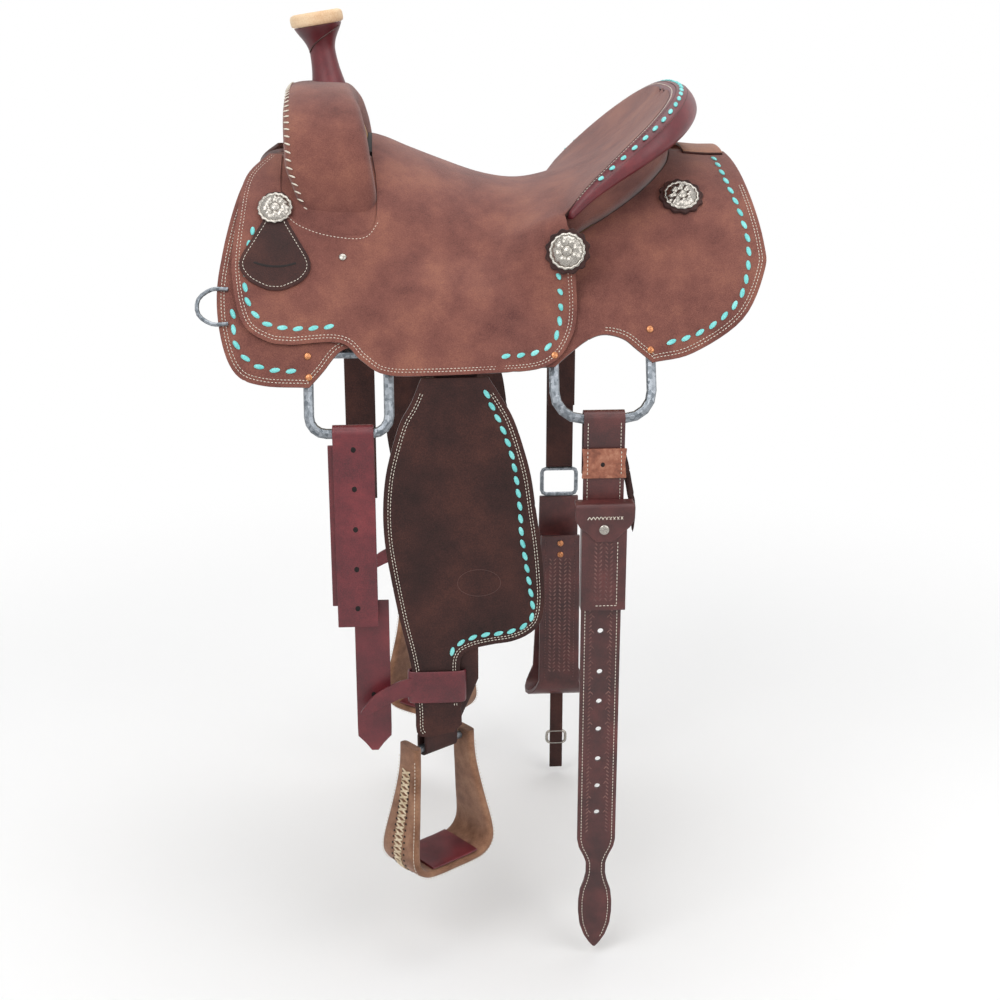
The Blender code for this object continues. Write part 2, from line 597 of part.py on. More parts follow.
def make_swell():
    core = swell_rings(SWELL_LEATHER + GAP, SWELL_DEPTH, foot_room=SWELL_FOOT_ROOM)
    fork = loft("tree_fork", [ring[::-1] for ring in core], WOOD, short_splits=True)
    outer, inner = (swell_rings(skin, SWELL_DEPTH, foot_wrap=0.42) for skin in (0.0, SWELL_LEATHER))
    shell = [o[1:-1] + i[1:-1][::-1] for o, i in zip(outer, inner)]
    cover = loft("swell_cover", shell, ROUGHOUT, short_splits=True)
    lean = Matrix.Translation((HORN_X, 0.0, SWELL_TOP)) @ Matrix.Rotation(-HORN_LEAN, 4, "Y")
    cutter = turned("horn_socket", [(NECK_FOOT_RADIUS + GAP, -0.012), (NECK_FOOT_RADIUS + GAP, 0.020)],
                    lean, DARK, sides=24)
    cutter.hide_render = True
    cutter.display_type = "WIRE"
    for target in (fork, cover):
        cut = target.modifiers.new("horn_socket", "BOOLEAN")
        cut.object = cutter
        cut.operation = "DIFFERENCE"
        cut.solver = "EXACT"
    neck_top = HORN_HEIGHT - HORN_CAP - 0.002
    flare = neck_top - 0.024
    turned("horn_wrap", [(NECK_FOOT_RADIUS, -0.012 + GAP), (NECK_FOOT_RADIUS, 0.004), (NECK_RADIUS, 0.024),
                         (NECK_RADIUS, flare - 0.004), (HORN_CAP_RADIUS - 0.003, neck_top - 0.004),
                         (HORN_CAP_RADIUS - 0.003, neck_top)], lean, BURGUNDY, roughness=0.45)
    low = neck_top + GAP
    turned("horn_cap", [(HORN_CAP_RADIUS - 0.003, low), (HORN_CAP_RADIUS, low + 0.003),
                        (HORN_CAP_RADIUS, low + HORN_CAP - 0.004),
                        (HORN_CAP_RADIUS - 0.004, low + HORN_CAP - 0.001),
                        (0.010, low + HORN_CAP)], lean, PALE, roughness=0.6)


# Rings, dees and conchos
def ring_route(width, length, corner):
    half = width / 2 - RING_TUBE
    centres = [(half - corner, length - corner, corner, 0.0),
               (corner - half, length - corner, corner, 90.0),
               (RING_TOP_CORNER - half, RING_TOP_CORNER, RING_TOP_CORNER, 180.0),
               (half - RING_TOP_CORNER, RING_TOP_CORNER, RING_TOP_CORNER, 270.0)]
    route = []
    for cx, cy, r, start in centres:
        for k in range(5):
            a = math.radians(start + 22.5 * k)
            route.append((cx + r * math.cos(a), cy + r * math.sin(a)))
    return route


def ring_place(x, top, low, drop):
    # A ring is flat: its frame runs down the side under the skirt
    start = on_side(x, top, FLEECE - RING_TUBE - drop)
    end = on_side(x, low - RING_TUBE, FLEECE - RING_TUBE - RING_DROP)
    down = (end - start).normalized()
    out = Vector((1.0, 0.0, 0.0)).cross(down)
    return Matrix((*((float(r == 0), down[r], out[r], start[r]) for r in range(3)),
                   (0, 0, 0, 1))), (end - start).length


def ring_bottom(x, top, low, drop):
    place, length = ring_place(x, top, low, drop)
    return place @ Vector((0.0, length, 0.0))


FRONT_RING = FRONT_RING_X, FRONT_RING_TOP_W, FRONT_RING_LOW_W, FRONT_RING_DROP
REAR_RING = REAR_RING_X, REAR_RING_TOP_W, REAR_RING_LOW_W, REAR_RING_DROP


def make_rings():
    for end, spot, width, corner in (("front", FRONT_RING, FRONT_RING_WIDTH, FRONT_RING_CORNER),
                                     ("rear", REAR_RING, REAR_RING_WIDTH, REAR_RING_CORNER)):
        place, length = ring_place(*spot)
        flat = [place @ Vector((x, y, 0.0)) for x, y in ring_route(width, length, corner)]
        for side, hand in (("near", NEAR), ("off", OFF)):
            route = [Vector((p.x, p.y * hand, p.z)) for p in flat]
            tube(f"{end}_ring_{side}", route, RING_TUBE, STEEL, roughness=0.35, metallic=1.0)


def surface_place(x, w, d):
    # A frame on the side: its Z is the way out of the leather
    centre = on_side(x, w, d)
    along = (on_side(x + 0.005, w, d) - on_side(x - 0.005, w, d)).normalized()
    hand = -1.0 if w < 0 else 1.0
    down = (on_side(x, w + 0.005 * hand, d) - on_side(x, w - 0.005 * hand, d)).normalized()
    out = along.cross(down).normalized() * hand
    if out.z < 0:
        out = -out
    return Matrix((*((along[r], down[r], out[r], centre[r]) for r in range(3)), (0, 0, 0, 1)))


def seated(x, w, height, radius, edge_x=1.0):
    # The frame of a flat round piece that rests on the leather at its highest point
    place = surface_place(x, w, height(x, w))
    back = place.inverted()
    hand = -1.0 if w < 0 else 1.0
    rise = max((back @ drape(x + r * math.cos(a), w + hand * r * math.sin(a), height)).z
               for r in np.linspace(0.0, radius, 7) for a in (math.pi * k / 16 for k in range(32))
               if x + r * math.cos(a) < edge_x)
    return place @ Matrix.Translation((0.0, 0.0, rise + GAP))


def make_conchos():
    spots = (("front", FRONT_CONCHO, FRONT_CONCHO_RADIUS), ("seat", SEAT_CONCHO, CONCHO_RADIUS),
             ("rear", REAR_CONCHO, CONCHO_RADIUS))
    for side, hand in (("near", NEAR), ("off", OFF)):
        for end, (x, w), silver_r in spots:
            height = skirt_high if end == "rear" else seat_high
            leather_r = silver_r + ROSETTE_RIM
            lift = 0.0
            if end == "front":
                place = seated(x, w * hand, lambda a, b: seat_high(a, b) + GAP + KEEPER, silver_r)
            else:
                place = seated(x, w * hand, height, leather_r, x + 0.004 if end == "seat" else 1.0)
                wave = [(leather_r + 0.0012 * math.cos(12 * a), a)
                        for a in (2 * math.pi * k / 48 for k in range(48))]
                scallop = [(r * math.cos(a), r * math.sin(a)) for r, a in wave]
                plate(f"rosette_{end}_{side}", scallop, place, 0.0, KEEPER, DARK_ROUGHOUT)
                lift = KEEPER + GAP
            dome = [(silver_r, 0.0), (silver_r, 0.001), (silver_r * 0.85, 0.003), (silver_r * 0.5, 0.0045),
                    (silver_r * 0.12, 0.005)]
            turned(f"concho_{end}_{side}", [(r, h + lift) for r, h in dome], place, SILVER, roughness=0.25,
                   metallic=1.0, sides=20)
        half = [(FRONT_CONCHO[0] + x, FRONT_CONCHO[1] + w) for x, w in smooth(KEEPER_HALF, 2)]
        other = [(2 * FRONT_CONCHO[0] - x, w) for x, w in reversed(half)]
        sheet("rope_strap_keeper_" + side, handed(outline(half, other), hand),
              lambda a, b: seat_high(a, b) + GAP,
              lambda a, b: seat_high(a, b) + GAP + KEEPER, DARK_ROUGHOUT)


def make_dees():
    # A bent wire whose arms come out from under the jockey and lie on the skirt
    for side, hand in (("near", NEAR), ("off", OFF)):
        x, w = DEE
        arms = [(x, w - DEE_WIDTH / 2), (x - DEE_REACH * 0.55, w - DEE_WIDTH / 2),
                (x - DEE_REACH, w - DEE_WIDTH * 0.22),
                (x - DEE_REACH, w + DEE_WIDTH * 0.22), (x - DEE_REACH * 0.55,
                                                        w + DEE_WIDTH / 2), (x, w + DEE_WIDTH / 2)]
        hinge = surface_place(x, w * hand, skirt_high(x, w) + DEE_WIRE - DEE_SINK)
        flat = [hinge.inverted() @ on_side(a, b * hand, skirt_high(a, b) + DEE_WIRE)
                for a, b in smooth(arms)]
        route = [hinge @ Vector((p.x, p.y, 0.0)) for p in flat]
        tube("breast_dee_" + side, route, DEE_WIRE, STEEL, closed=False, pivot=hinge.translation,
             roughness=0.35, metallic=1.0)


# Fenders and stirrups
def upright(hand, x=0.0):
    # Local x and y become X and Z, and local z points out from the centreline
    return Matrix(((1, 0, 0, x), (0, 0, hand, 0), (0, 1, 0, 0), (0, 0, 0, 1)))


def make_leather(side, hand, pivot):
    # The stirrup leather hangs behind the fender, twists, and goes round the bolt
    turn = BOLT_RADIUS + GAP + STRAP / 2
    front_y = FENDER_Y - GAP - STRAP / 2
    gap = STRAP + GAP
    stations = [(z, 0.0, front_y - gap / 2, gap / 2)
                for z in (LEATHER_TOP, (LEATHER_TOP + TWIST_TOP) / 2, TWIST_TOP)]
    for k in range(1, TWIST_STEPS + 1):
        u = k / TWIST_STEPS
        z = TWIST_TOP + (BOLT_Z + 2 * turn - TWIST_TOP) * u
        y = front_y - gap / 2 + (STIRRUP_Y - front_y + gap / 2) * math.sin(u * math.pi / 2)
        stations.append((z, u, y, gap / 2 + (turn - gap / 2) * u ** 1.2))
    stations.append((BOLT_Z, 1.0, STIRRUP_Y, turn))
    rings = []

    def ring(x, y, z, u, normal, tilt):
        angle = STIRRUP_TURN * ease(u)
        across = Vector((math.cos(angle), math.sin(angle), 0.0))
        out = Vector((math.sin(angle), -math.cos(angle), 0.0))
        centre = Vector((x, -y, z)) + out * normal
        thick = (out * math.cos(tilt) + Vector((0, 0, 1)) * math.sin(tilt)) * STRAP / 2
        half = across * STRAP_WIDTH / 2
        rings.append([centre - half - thick, centre + half - thick, centre + half + thick,
                      centre - half + thick])

    xs = [STRAP_X + (STIRRUP_X - STRAP_X) * u for _, u, _, _ in stations]
    for (z, u, y, n), x in zip(stations, xs):
        ring(x, y, z, u, n, 0.0)
    for k in range(1, 8):
        a = math.pi * k / 8
        ring(STIRRUP_X, STIRRUP_Y, BOLT_Z - turn * math.sin(a), 1.0, turn * math.cos(a), -a)
    for (z, u, y, n), x in list(zip(stations, xs))[::-1]:
        ring(x, y, z, u, -n, math.pi)
    handed_rings = [[Vector((p.x, -hand * p.y, p.z)) for p in ring_points] for ring_points in rings]
    loft("stirrup_leather_" + side, handed_rings, DARK_ROUGHOUT, pivot=pivot)


def make_legs():
    for side, hand in (("near", NEAR), ("off", OFF)):
        half = STRAP_WIDTH / 2
        upper = [(STRAP_X - half, UPPER_STRAP_W), (STRAP_X + half, UPPER_STRAP_W),
                 (STRAP_X + half, UPPER_STRAP_END_W),
                 (STRAP_X - half, UPPER_STRAP_END_W)]
        sheet("stirrup_strap_" + side, handed(upper, hand), lambda x, w: skirt_high(x, w) + GAP,
              lambda x, w: skirt_high(x, w) + GAP + STRAP, DARK_ROUGHOUT)
        pivot = Vector((STRAP_X, hand * (FENDER_Y + FENDER), FENDER_TOP))
        loop = outline([(FENDER_REAR_TOP, FENDER_TOP)], smooth(FENDER_REAR), smooth(FENDER_FRONT),
                       [(FENDER_FRONT_TOP, FENDER_TOP)])
        plate("fender_" + side, loop, upright(hand), FENDER_Y, FENDER_Y + FENDER, DARK_ROUGHOUT,
              pivot=pivot)
        make_leather(side, hand, pivot)
        face = FENDER_Y + FENDER + GAP
        low, high = HOBBLE_Z - HOBBLE_WIDTH / 2, HOBBLE_Z + HOBBLE_WIDTH / 2
        front, rear = STIRRUP_X - HOBBLE_HALF, STIRRUP_X + HOBBLE_HALF
        hobble = outline([(front, low), (front, high)],
                         smooth([(rear - 0.012, high), (rear, HOBBLE_Z), (rear - 0.012, low)]))
        plate("hobble_strap_" + side, hobble, upright(hand), face, face + HOBBLE, BURGUNDY, pivot=pivot)
        make_stirrup(side, hand)


def make_stirrup(side, hand):
    bolt = Vector((STIRRUP_X, hand * STIRRUP_Y, BOLT_Z))
    place = Matrix.Translation(bolt) @ Matrix.Rotation(STIRRUP_TURN * -hand, 4, "Z")
    bend = STIRRUP_LOW_HALF * 0.45
    right = [(STIRRUP_TOP_HALF, 0.010), (STIRRUP_TOP_HALF + 0.002, -0.030),
             (STIRRUP_LOW_HALF, -STIRRUP_HEIGHT + bend),
             (STIRRUP_LOW_HALF * 0.86, -STIRRUP_HEIGHT + 0.008),
             (STIRRUP_LOW_HALF * 0.5, -STIRRUP_HEIGHT), (0.0, -STIRRUP_HEIGHT)]
    half = smooth(right)
    path = half + [(-x, z) for x, z in reversed(half[:-1])]

    def band(inset, thick, start, end, trim=0.0):
        rings = []
        for i in range(start, end):
            x, z = path[i]
            a, b = path[max(i - 1, 0)], path[min(i + 1, len(path) - 1)]
            along = Vector((b[0] - a[0], b[1] - a[1])).normalized()
            inward = Vector((along.y, -along.x))
            depth = BRANCH_DEPTH_TOP + (TREAD_DEPTH - BRANCH_DEPTH_TOP) * ease(-z / STIRRUP_HEIGHT) - trim
            ring = []
            for share, cut in ((-1.0, 0.0), (-0.8, 1.0), (0.8, 1.0), (1.0, 0.0)):
                ring.append((share * depth / 2, inset + cut * thick * 0.12))
            ring = [(y, inset + (0.15 if abs(y) > depth * 0.45 else 0.0) * thick) for y, _ in ring]
            ring += [(y, inset + thick - (0.15 if abs(y) > depth * 0.45 else 0.0) * thick)
                     for y, _ in reversed(ring)]
            rings.append([place @ Vector((x + inward.x * n, y, z + inward.y * n)) for y, n in ring])
        return rings

    loft("stirrup_" + side, band(0.0, BRANCH, 0, len(path)), SUEDE, pivot=bolt)
    middle = len(path) // 2
    loft("stirrup_tread_" + side, band(BRANCH + GAP, 0.003, middle - 4, middle + 5, trim=0.006), BURGUNDY,
         pivot=bolt)
    across = place @ Matrix.Rotation(math.pi / 2, 4, "Y")
    reach = STIRRUP_TOP_HALF - BRANCH - GAP * 3
    turned("stirrup_bolt_" + side, [(BOLT_RADIUS, -reach), (BOLT_RADIUS, reach)], across, STEEL,
           roughness=0.4, metallic=1.0,
           sides=12, pivot=bolt)


# Straps on the rings
def strap_loop(centre, hand, outer_z, inner_z):
    # From the outer end up over the ring and down behind it
    reach = RING_TUBE + GAP + STRAP / 2
    y, z = abs(centre.y), centre.z
    arc = [(y + reach * math.cos(a), z + reach * math.sin(a)) for a in (math.pi * k / 8 for k in range(9))]
    route = [(y + reach, outer_z), (y + reach, outer_z + TIP), (y + reach, (outer_z + z) / 2)] + arc
    return [(py * hand, pz) for py, pz in route + [(y - reach, (inner_z + z) / 2), (y - reach, inner_z)]]


def hung(name, centre, hand, outer_z, inner_z, width, colour):
    pivot = Vector((centre.x, abs(centre.y) * hand, centre.z))
    ribbon(name, strap_loop(centre, hand, outer_z, inner_z), width, STRAP, centre.x, colour, pivot=pivot)
    return pivot


def pointed(width, share):
    return lambda u: width * (0.3 + 0.7 * ease(u / share))


def make_near_straps():
    front, rear = ring_bottom(*FRONT_RING), ring_bottom(*REAR_RING)
    hung("latigo_near", front, NEAR, LATIGO_FRONT_Z, LATIGO_TAIL_Z, lambda u: LATIGO_WIDTH, BURGUNDY)
    pivot = hung("rear_billet_near", rear, NEAR, BILLET_END_Z, BILLET_FOLD_Z, pointed(BILLET_WIDTH, 0.03),
                 BURGUNDY)
    face = abs(rear.y) + RING_TUBE + GAP + STRAP + GAP
    place = upright(NEAR, rear.x)
    half = KEEPER_WIDTH / 2
    loop = [(-half, KEEPER_TOP_Z), (half, KEEPER_TOP_Z), (half * 0.93, (KEEPER_TOP_Z + KEEPER_LOW_Z) / 2),
            (half, KEEPER_LOW_Z),
            (-half, KEEPER_LOW_Z), (-half * 0.93, (KEEPER_TOP_Z + KEEPER_LOW_Z) / 2)]
    plate("billet_keeper", loop, place, face, face + LEATHER, SUEDE, pivot=pivot)

    def pouch_ring(wall, z):
        x, near, far = POUCH_WIDTH / 2 - wall, face + wall, face + POUCH_DEPTH - wall
        return [place @ Vector((a, z, b)) for a, b in ((-x, near), (x, near), (x, far), (-x, far))]

    rings = [pouch_ring(0.0, POUCH_LOW_Z), pouch_ring(0.0, POUCH_TOP_Z),
             pouch_ring(POUCH_WALL, POUCH_TOP_Z),
             pouch_ring(POUCH_WALL, POUCH_LOW_Z + POUCH_WALL)]
    loft("pouch_body", rings, BURGUNDY, pivot=pivot)
    top = POUCH_TOP_Z + 2 * GAP + POUCH_WALL / 2
    front_y = face + POUCH_DEPTH + 2 * GAP + POUCH_WALL / 2
    bend = [(front_y - POUCH_WALL, top), (front_y - POUCH_WALL / 5, top - POUCH_WALL / 5),
            (front_y, top - POUCH_WALL)]
    route = ([(face + GAP, top), (face + POUCH_DEPTH / 2, top)] + bend
             + [(front_y, top - FLAP_DROP * s) for s in (0.4, 0.6, 0.8, 1.0)])
    hinge = Vector((rear.x, NEAR * (face + GAP), top + POUCH_WALL / 2))
    ribbon("pouch_flap", [(NEAR * y, z) for y, z in route],
           lambda u: FLAP_WIDTH * (1 - 0.75 * ease((u - 0.62) / 0.45)),
           POUCH_WALL, rear.x, BURGUNDY, pivot=hinge)


def frame_buckle(name, place, width, height, bar, pivot):
    # A rectangular buckle in its own x and y, with its middle at the origin
    rings = []
    x, y = width / 2, height / 2
    for cx, cy, turn in ((x, y, 0.0), (-x, y, 90.0), (-x, -y, 180.0), (x, -y, 270.0)):
        for k in range(3):
            a = math.radians(turn + 45 * k)
            mid = Vector((cx - math.copysign(2 * bar, cx), cy - math.copysign(2 * bar, cy), 0.0))
            out = Vector((math.cos(a), math.sin(a), 0.0))
            rings.append([place @ (mid + out * (bar * (2 + math.cos(b)))
                                   + Vector((0, 0, bar * math.sin(b))))
                          for b in (2 * math.pi * n / 6 for n in range(6))])
    loft(name, rings, STEEL, closed=True, pivot=pivot, roughness=0.35, metallic=1.0)


def make_off_straps():
    front, rear = ring_bottom(*FRONT_RING), ring_bottom(*REAR_RING)
    hung("front_billet_off", front, OFF, OFF_FRONT_END_Z, OFF_FRONT_END_Z + 0.030, pointed(0.044, 0.12),
         DARK_ROUGHOUT)
    off = hung("rear_billet_off", rear, OFF, OFF_REAR_END_Z, OFF_REAR_END_Z + 0.100,
               lambda u: OFF_REAR_WIDTH, DARK_ROUGHOUT)
    outer_y = abs(rear.y) + RING_TUBE + GAP + STRAP / 2
    bar = BUCKLE_BAR
    centre_z = OFF_REAR_END_Z - GAP - bar
    place = upright(OFF, rear.x) @ Matrix.Translation((0.0, centre_z - BUCKLE_HEIGHT / 2, outer_y))
    frame_buckle("flank_buckle", place, BUCKLE_WIDTH, BUCKLE_HEIGHT, bar, off)
    hinge = Vector((rear.x, outer_y, centre_z - BUCKLE_HEIGHT))
    turn = CINCH_FOLD / 2
    middle_y = outer_y + CINCH_LEAN - turn
    arc = [(middle_y + turn * math.cos(a), CINCH_LOW_Z + turn + turn * math.sin(a))
           for a in (-math.pi * k / 8 for k in range(9))]
    top = hinge.z - bar - GAP
    route = ([(outer_y, top), (outer_y + CINCH_LEAN / 2, (top + CINCH_LOW_Z) / 2)] + arc
             + [(middle_y - turn, CINCH_RETURN_Z)])
    widen = CINCH_MID_WIDTH - CINCH_END_WIDTH
    ribbon("flank_cinch", route, lambda u: CINCH_END_WIDTH + widen * math.sin(math.pi * u) ** 2,
           CINCH, rear.x, BURGUNDY, pivot=hinge)
    # The connecting strap's top is round about its pivot, so that it turns clear of the cinch
    half = STRAP / 2
    low = Vector((rear.x, middle_y, CINCH_LOW_Z - CINCH / 2 - GAP - half))
    profile = [(half * math.cos(a), half * math.sin(a)) for a in (math.pi * k / 8 for k in range(9))]
    profile += [(-half, TIE_END_Z - low.z), (half, TIE_END_Z - low.z)]
    across = Matrix.Translation(low) @ Matrix(((0, 0, 1, 0), (1, 0, 0, 0), (0, 1, 0, 0), (0, 0, 0, 1)))
    plate("connecting_strap", profile, across, -TIE_WIDTH / 2, TIE_WIDTH / 2, DARK_ROUGHOUT, pivot=low)


def main():
    for old in list(bpy.data.objects):
        bpy.data.objects.remove(old, do_unlink=True)
    make_skirts()
    make_cantle()
    make_binding()
    make_seat()
    make_swell()
    make_rings()
    make_conchos()
    make_dees()
    make_legs()
    make_near_straps()
    make_off_straps()


main()
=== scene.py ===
# A western roping saddle, dressed in the order in which a saddler puts it together.
import math
import random

import bmesh
import bpy
import numpy as np
from mathutils import Matrix, Vector
from mathutils.bvhtree import BVHTree


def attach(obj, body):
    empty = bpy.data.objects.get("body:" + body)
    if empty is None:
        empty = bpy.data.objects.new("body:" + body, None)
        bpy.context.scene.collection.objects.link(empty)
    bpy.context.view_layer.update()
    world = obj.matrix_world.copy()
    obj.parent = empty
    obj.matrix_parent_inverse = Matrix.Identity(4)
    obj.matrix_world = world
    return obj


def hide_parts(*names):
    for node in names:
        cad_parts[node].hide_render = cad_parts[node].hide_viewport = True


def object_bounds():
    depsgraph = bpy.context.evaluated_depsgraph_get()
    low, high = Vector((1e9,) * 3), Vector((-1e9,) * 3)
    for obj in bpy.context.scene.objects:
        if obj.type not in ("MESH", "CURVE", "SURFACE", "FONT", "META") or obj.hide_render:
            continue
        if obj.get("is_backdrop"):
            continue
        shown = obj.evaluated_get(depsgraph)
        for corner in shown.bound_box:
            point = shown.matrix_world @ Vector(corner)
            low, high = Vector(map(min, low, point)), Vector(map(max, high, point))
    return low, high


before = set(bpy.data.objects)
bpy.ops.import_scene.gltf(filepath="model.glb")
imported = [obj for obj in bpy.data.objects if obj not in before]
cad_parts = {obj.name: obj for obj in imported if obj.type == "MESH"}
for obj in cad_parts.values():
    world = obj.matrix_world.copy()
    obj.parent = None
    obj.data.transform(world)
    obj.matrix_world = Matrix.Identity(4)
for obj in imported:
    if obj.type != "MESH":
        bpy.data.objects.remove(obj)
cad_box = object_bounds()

random.seed(7)

# The setting
# The camera stands at the photograph's place. A pale floor and a white backdrop take the soft shadow,
# and three large soft lamps with a pale sky light the leather evenly.
camera_data = bpy.data.cameras.new("camera")
camera_data.sensor_width = 36.0
camera_data.lens = 56.5
camera = bpy.data.objects.new("camera", camera_data)
camera.location = (-0.109, -2.02, 0.28)
camera.rotation_euler = (math.radians(90.0 - 17.8), 0.0, math.radians(-3.7))
bpy.context.collection.objects.link(camera)
bpy.context.scene.camera = camera
bpy.context.scene.view_settings.view_transform = "Standard"

FLOOR_Z = -0.915
GROUND_SIZE = 14.0


def linear(code):
    # An sRGB hex colour as linear red, green, blue and alpha
    parts = [int(code[k:k + 2], 16) / 255.0 for k in (1, 3, 5)]
    return tuple(c / 12.92 if c <= 0.04045 else ((c + 0.055) / 1.055) ** 2.4 for c in parts) + (1.0,)


def add(tree, kind, inputs=None, **settings):
    # A shader node with its settings and links
    node = tree.nodes.new("ShaderNode" + kind)
    for key, value in settings.items():
        setattr(node, key, value)
    for key, value in (inputs or {}).items():
        if isinstance(value, bpy.types.NodeSocket):
            tree.links.new(value, node.inputs[key])
        else:
            node.inputs[key].default_value = value
    return node


def blank(name):
    # A new material, its node tree and its shader
    made = bpy.data.materials.new(name)
    made.use_nodes = True
    return made, made.node_tree, made.node_tree.nodes["Principled BSDF"]


def seen_directly(tree):
    # 1 where the camera, a reflection or glass sees this surface, and 0 where it only gives light
    path = add(tree, "LightPath")
    seen = add(tree, "Math", {0: path.outputs["Is Camera Ray"], 1: path.outputs["Is Glossy Ray"]},
               operation="ADD", use_clamp=True)
    return add(tree, "Math", {0: seen.outputs[0], 1: path.outputs["Is Transmission Ray"]},
               operation="ADD", use_clamp=True)


def white_ground(name):
    # Matt paper: white where the camera looks past the saddle, shaded near it so that the shadow stays
    made, tree, shader = blank(name)
    shader.inputs["Base Color"].default_value = linear("#f6f6f6")
    shader.inputs["Roughness"].default_value = 0.95
    where = add(tree, "TexCoord").outputs["Object"]
    away = add(tree, "VectorMath", {0: where}, operation="LENGTH").outputs["Value"]
    far = add(tree, "MapRange", {"Value": away, "From Min": 1.0, "From Max": 2.1},
              interpolation_type="SMOOTHSTEP")
    share = add(tree, "Math", {0: seen_directly(tree).outputs[0], 1: far.outputs["Result"]},
                operation="MULTIPLY")
    glow = add(tree, "Emission", {"Color": (1.0, 1.0, 1.0, 1.0), "Strength": 1.0})
    mix = add(tree, "MixShader", {0: share.outputs[0], 1: shader.outputs[0], 2: glow.outputs[0]})
    tree.links.new(mix.outputs[0], tree.nodes["Material Output"].inputs["Surface"])
    return made


paper = white_ground("white_paper")
upright = Matrix.Translation((0.0, 4.0, 2.0)) @ Matrix.Rotation(math.pi / 2, 4, "X")
for name, place in (("floor", Matrix.Translation((0.0, 2.0, FLOOR_Z))), ("backdrop", upright)):
    bm = bmesh.new()
    bmesh.ops.create_grid(bm, x_segments=1, y_segments=1, size=GROUND_SIZE / 2, matrix=place)
    mesh = bpy.data.meshes.new(name)
    bm.to_mesh(mesh)
    bm.free()
    mesh.materials.append(paper)
    ground = bpy.data.objects.new(name, mesh)
    bpy.context.collection.objects.link(ground)
    ground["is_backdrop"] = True

AIM = Vector((0.0, 0.0, -0.25))
for name, place, size, power in (("key", (-1.7, -2.6, 2.3), 2.6, 62.0),
                                 ("fill", (2.2, -2.3, 1.3), 2.4, 32.0),
                                 ("top", (0.2, 0.3, 2.7), 2.4, 40.0)):
    lamp_data = bpy.data.lights.new(name, "AREA")
    lamp_data.size = size
    lamp_data.energy = power
    lamp = bpy.data.objects.new(name, lamp_data)
    lamp.location = place
    lamp.rotation_euler = (AIM - Vector(place)).to_track_quat("-Z", "Y").to_euler()
    bpy.context.collection.objects.link(lamp)

world = bpy.data.worlds.new("studio")
world.use_nodes = True
bpy.context.scene.world = world
sky = world.node_tree
# White where it is seen, and a little over half as strong as a light
level = add(sky, "MapRange", {"Value": seen_directly(sky).outputs[0], "To Min": 0.55, "To Max": 1.0})
sky.nodes["Background"].inputs["Color"].default_value = (1.0, 1.0, 1.0, 1.0)
sky.links.new(level.outputs["Result"], sky.nodes["Background"].inputs["Strength"])

# Wool lining
# Clipped sheepskin, glued and sewn under the skirts. It shows as a pale fringe along the skirts' edges,
# and underneath as a deep matted pile.
GAP = 0.0003
LINING = 0.010
# The ridge's lowest point, how far it rises to the front and the rear, and over what length
RIDGE_LOW, RIDGE_LOW_X = 0.015, 0.020
RISE_FRONT, REACH_FRONT, RISE_REAR, REACH_REAR = 0.050, 0.300, 0.062, 0.260
# The side falls from the ridge in a curve drawn towards the shoulder, to the skirt's foot
SHOULDER, FOOT_HALF_WIDTH, FOOT_HEIGHT, NOMINAL_RIDGE = 0.170, 0.235, -0.165, 0.070


def ridge(x):
    # The height of the ridge along the saddle
    rise, reach = (RISE_FRONT, REACH_FRONT) if x < RIDGE_LOW_X else (RISE_REAR, REACH_REAR)
    return RIDGE_LOW + rise * (1 - math.cos(math.pi * min(abs(x - RIDGE_LOW_X) / reach, 1.0))) / 2


def section(t, top):
    # A point of the side, as y and z, from the ridge at 0 to the foot at 1
    return 2 * t * (1 - t) * SHOULDER + t * t * FOOT_HALF_WIDTH, top - t * t * (top - FOOT_HEIGHT)


SHARES = np.linspace(0.0, 1.5, 301)
steps = np.diff(np.array([section(t, NOMINAL_RIDGE) for t in SHARES]), axis=0)
GIRTH = np.concatenate(([0.0], np.cumsum(np.hypot(*steps.T))))


def side(x, w, d=0.0):
    # A point of the saddle's side: w down from the ridge, near side negative, and d above the underside
    # of the lining
    t = float(np.interp(abs(w), GIRTH, SHARES))
    hand = -1.0 if w < 0 else 1.0
    top = ridge(x)
    y, z = section(t, top)
    slope_y, slope_z = 2 * (1 - 2 * t) * SHOULDER + 2 * t * FOOT_HALF_WIDTH, -2 * t * (top - FOOT_HEIGHT)
    length = math.hypot(slope_y, slope_z)
    return Vector((x, hand * (y - slope_z / length * d), z + slope_y / length * d))


def curve(points, steps=6):
    # A smooth line through the points of an outline
    pts = [Vector(p) for p in points]
    pts = [2 * pts[0] - pts[1]] + pts + [2 * pts[-1] - pts[-2]]
    out = []
    for a, b, c, e in zip(pts, pts[1:], pts[2:], pts[3:]):
        for k in range(steps):
            u = k / steps
            out.append(0.5 * (2 * b + (c - a) * u + (2 * a - 5 * b + 4 * c - e) * u * u
                              + (3 * b - a - 3 * c + e) * u ** 3))
    return [tuple(p) for p in out] + [tuple(pts[-2])]


def joined(*runs):
    # Runs of an outline, end to end, without a repeated point
    out = []
    for p in (p for run in runs for p in run):
        if not out or math.dist(p, out[-1]) > 2e-4:
            out.append(tuple(p))
    return out[:-1] if math.dist(out[0], out[-1]) < 2e-4 else out


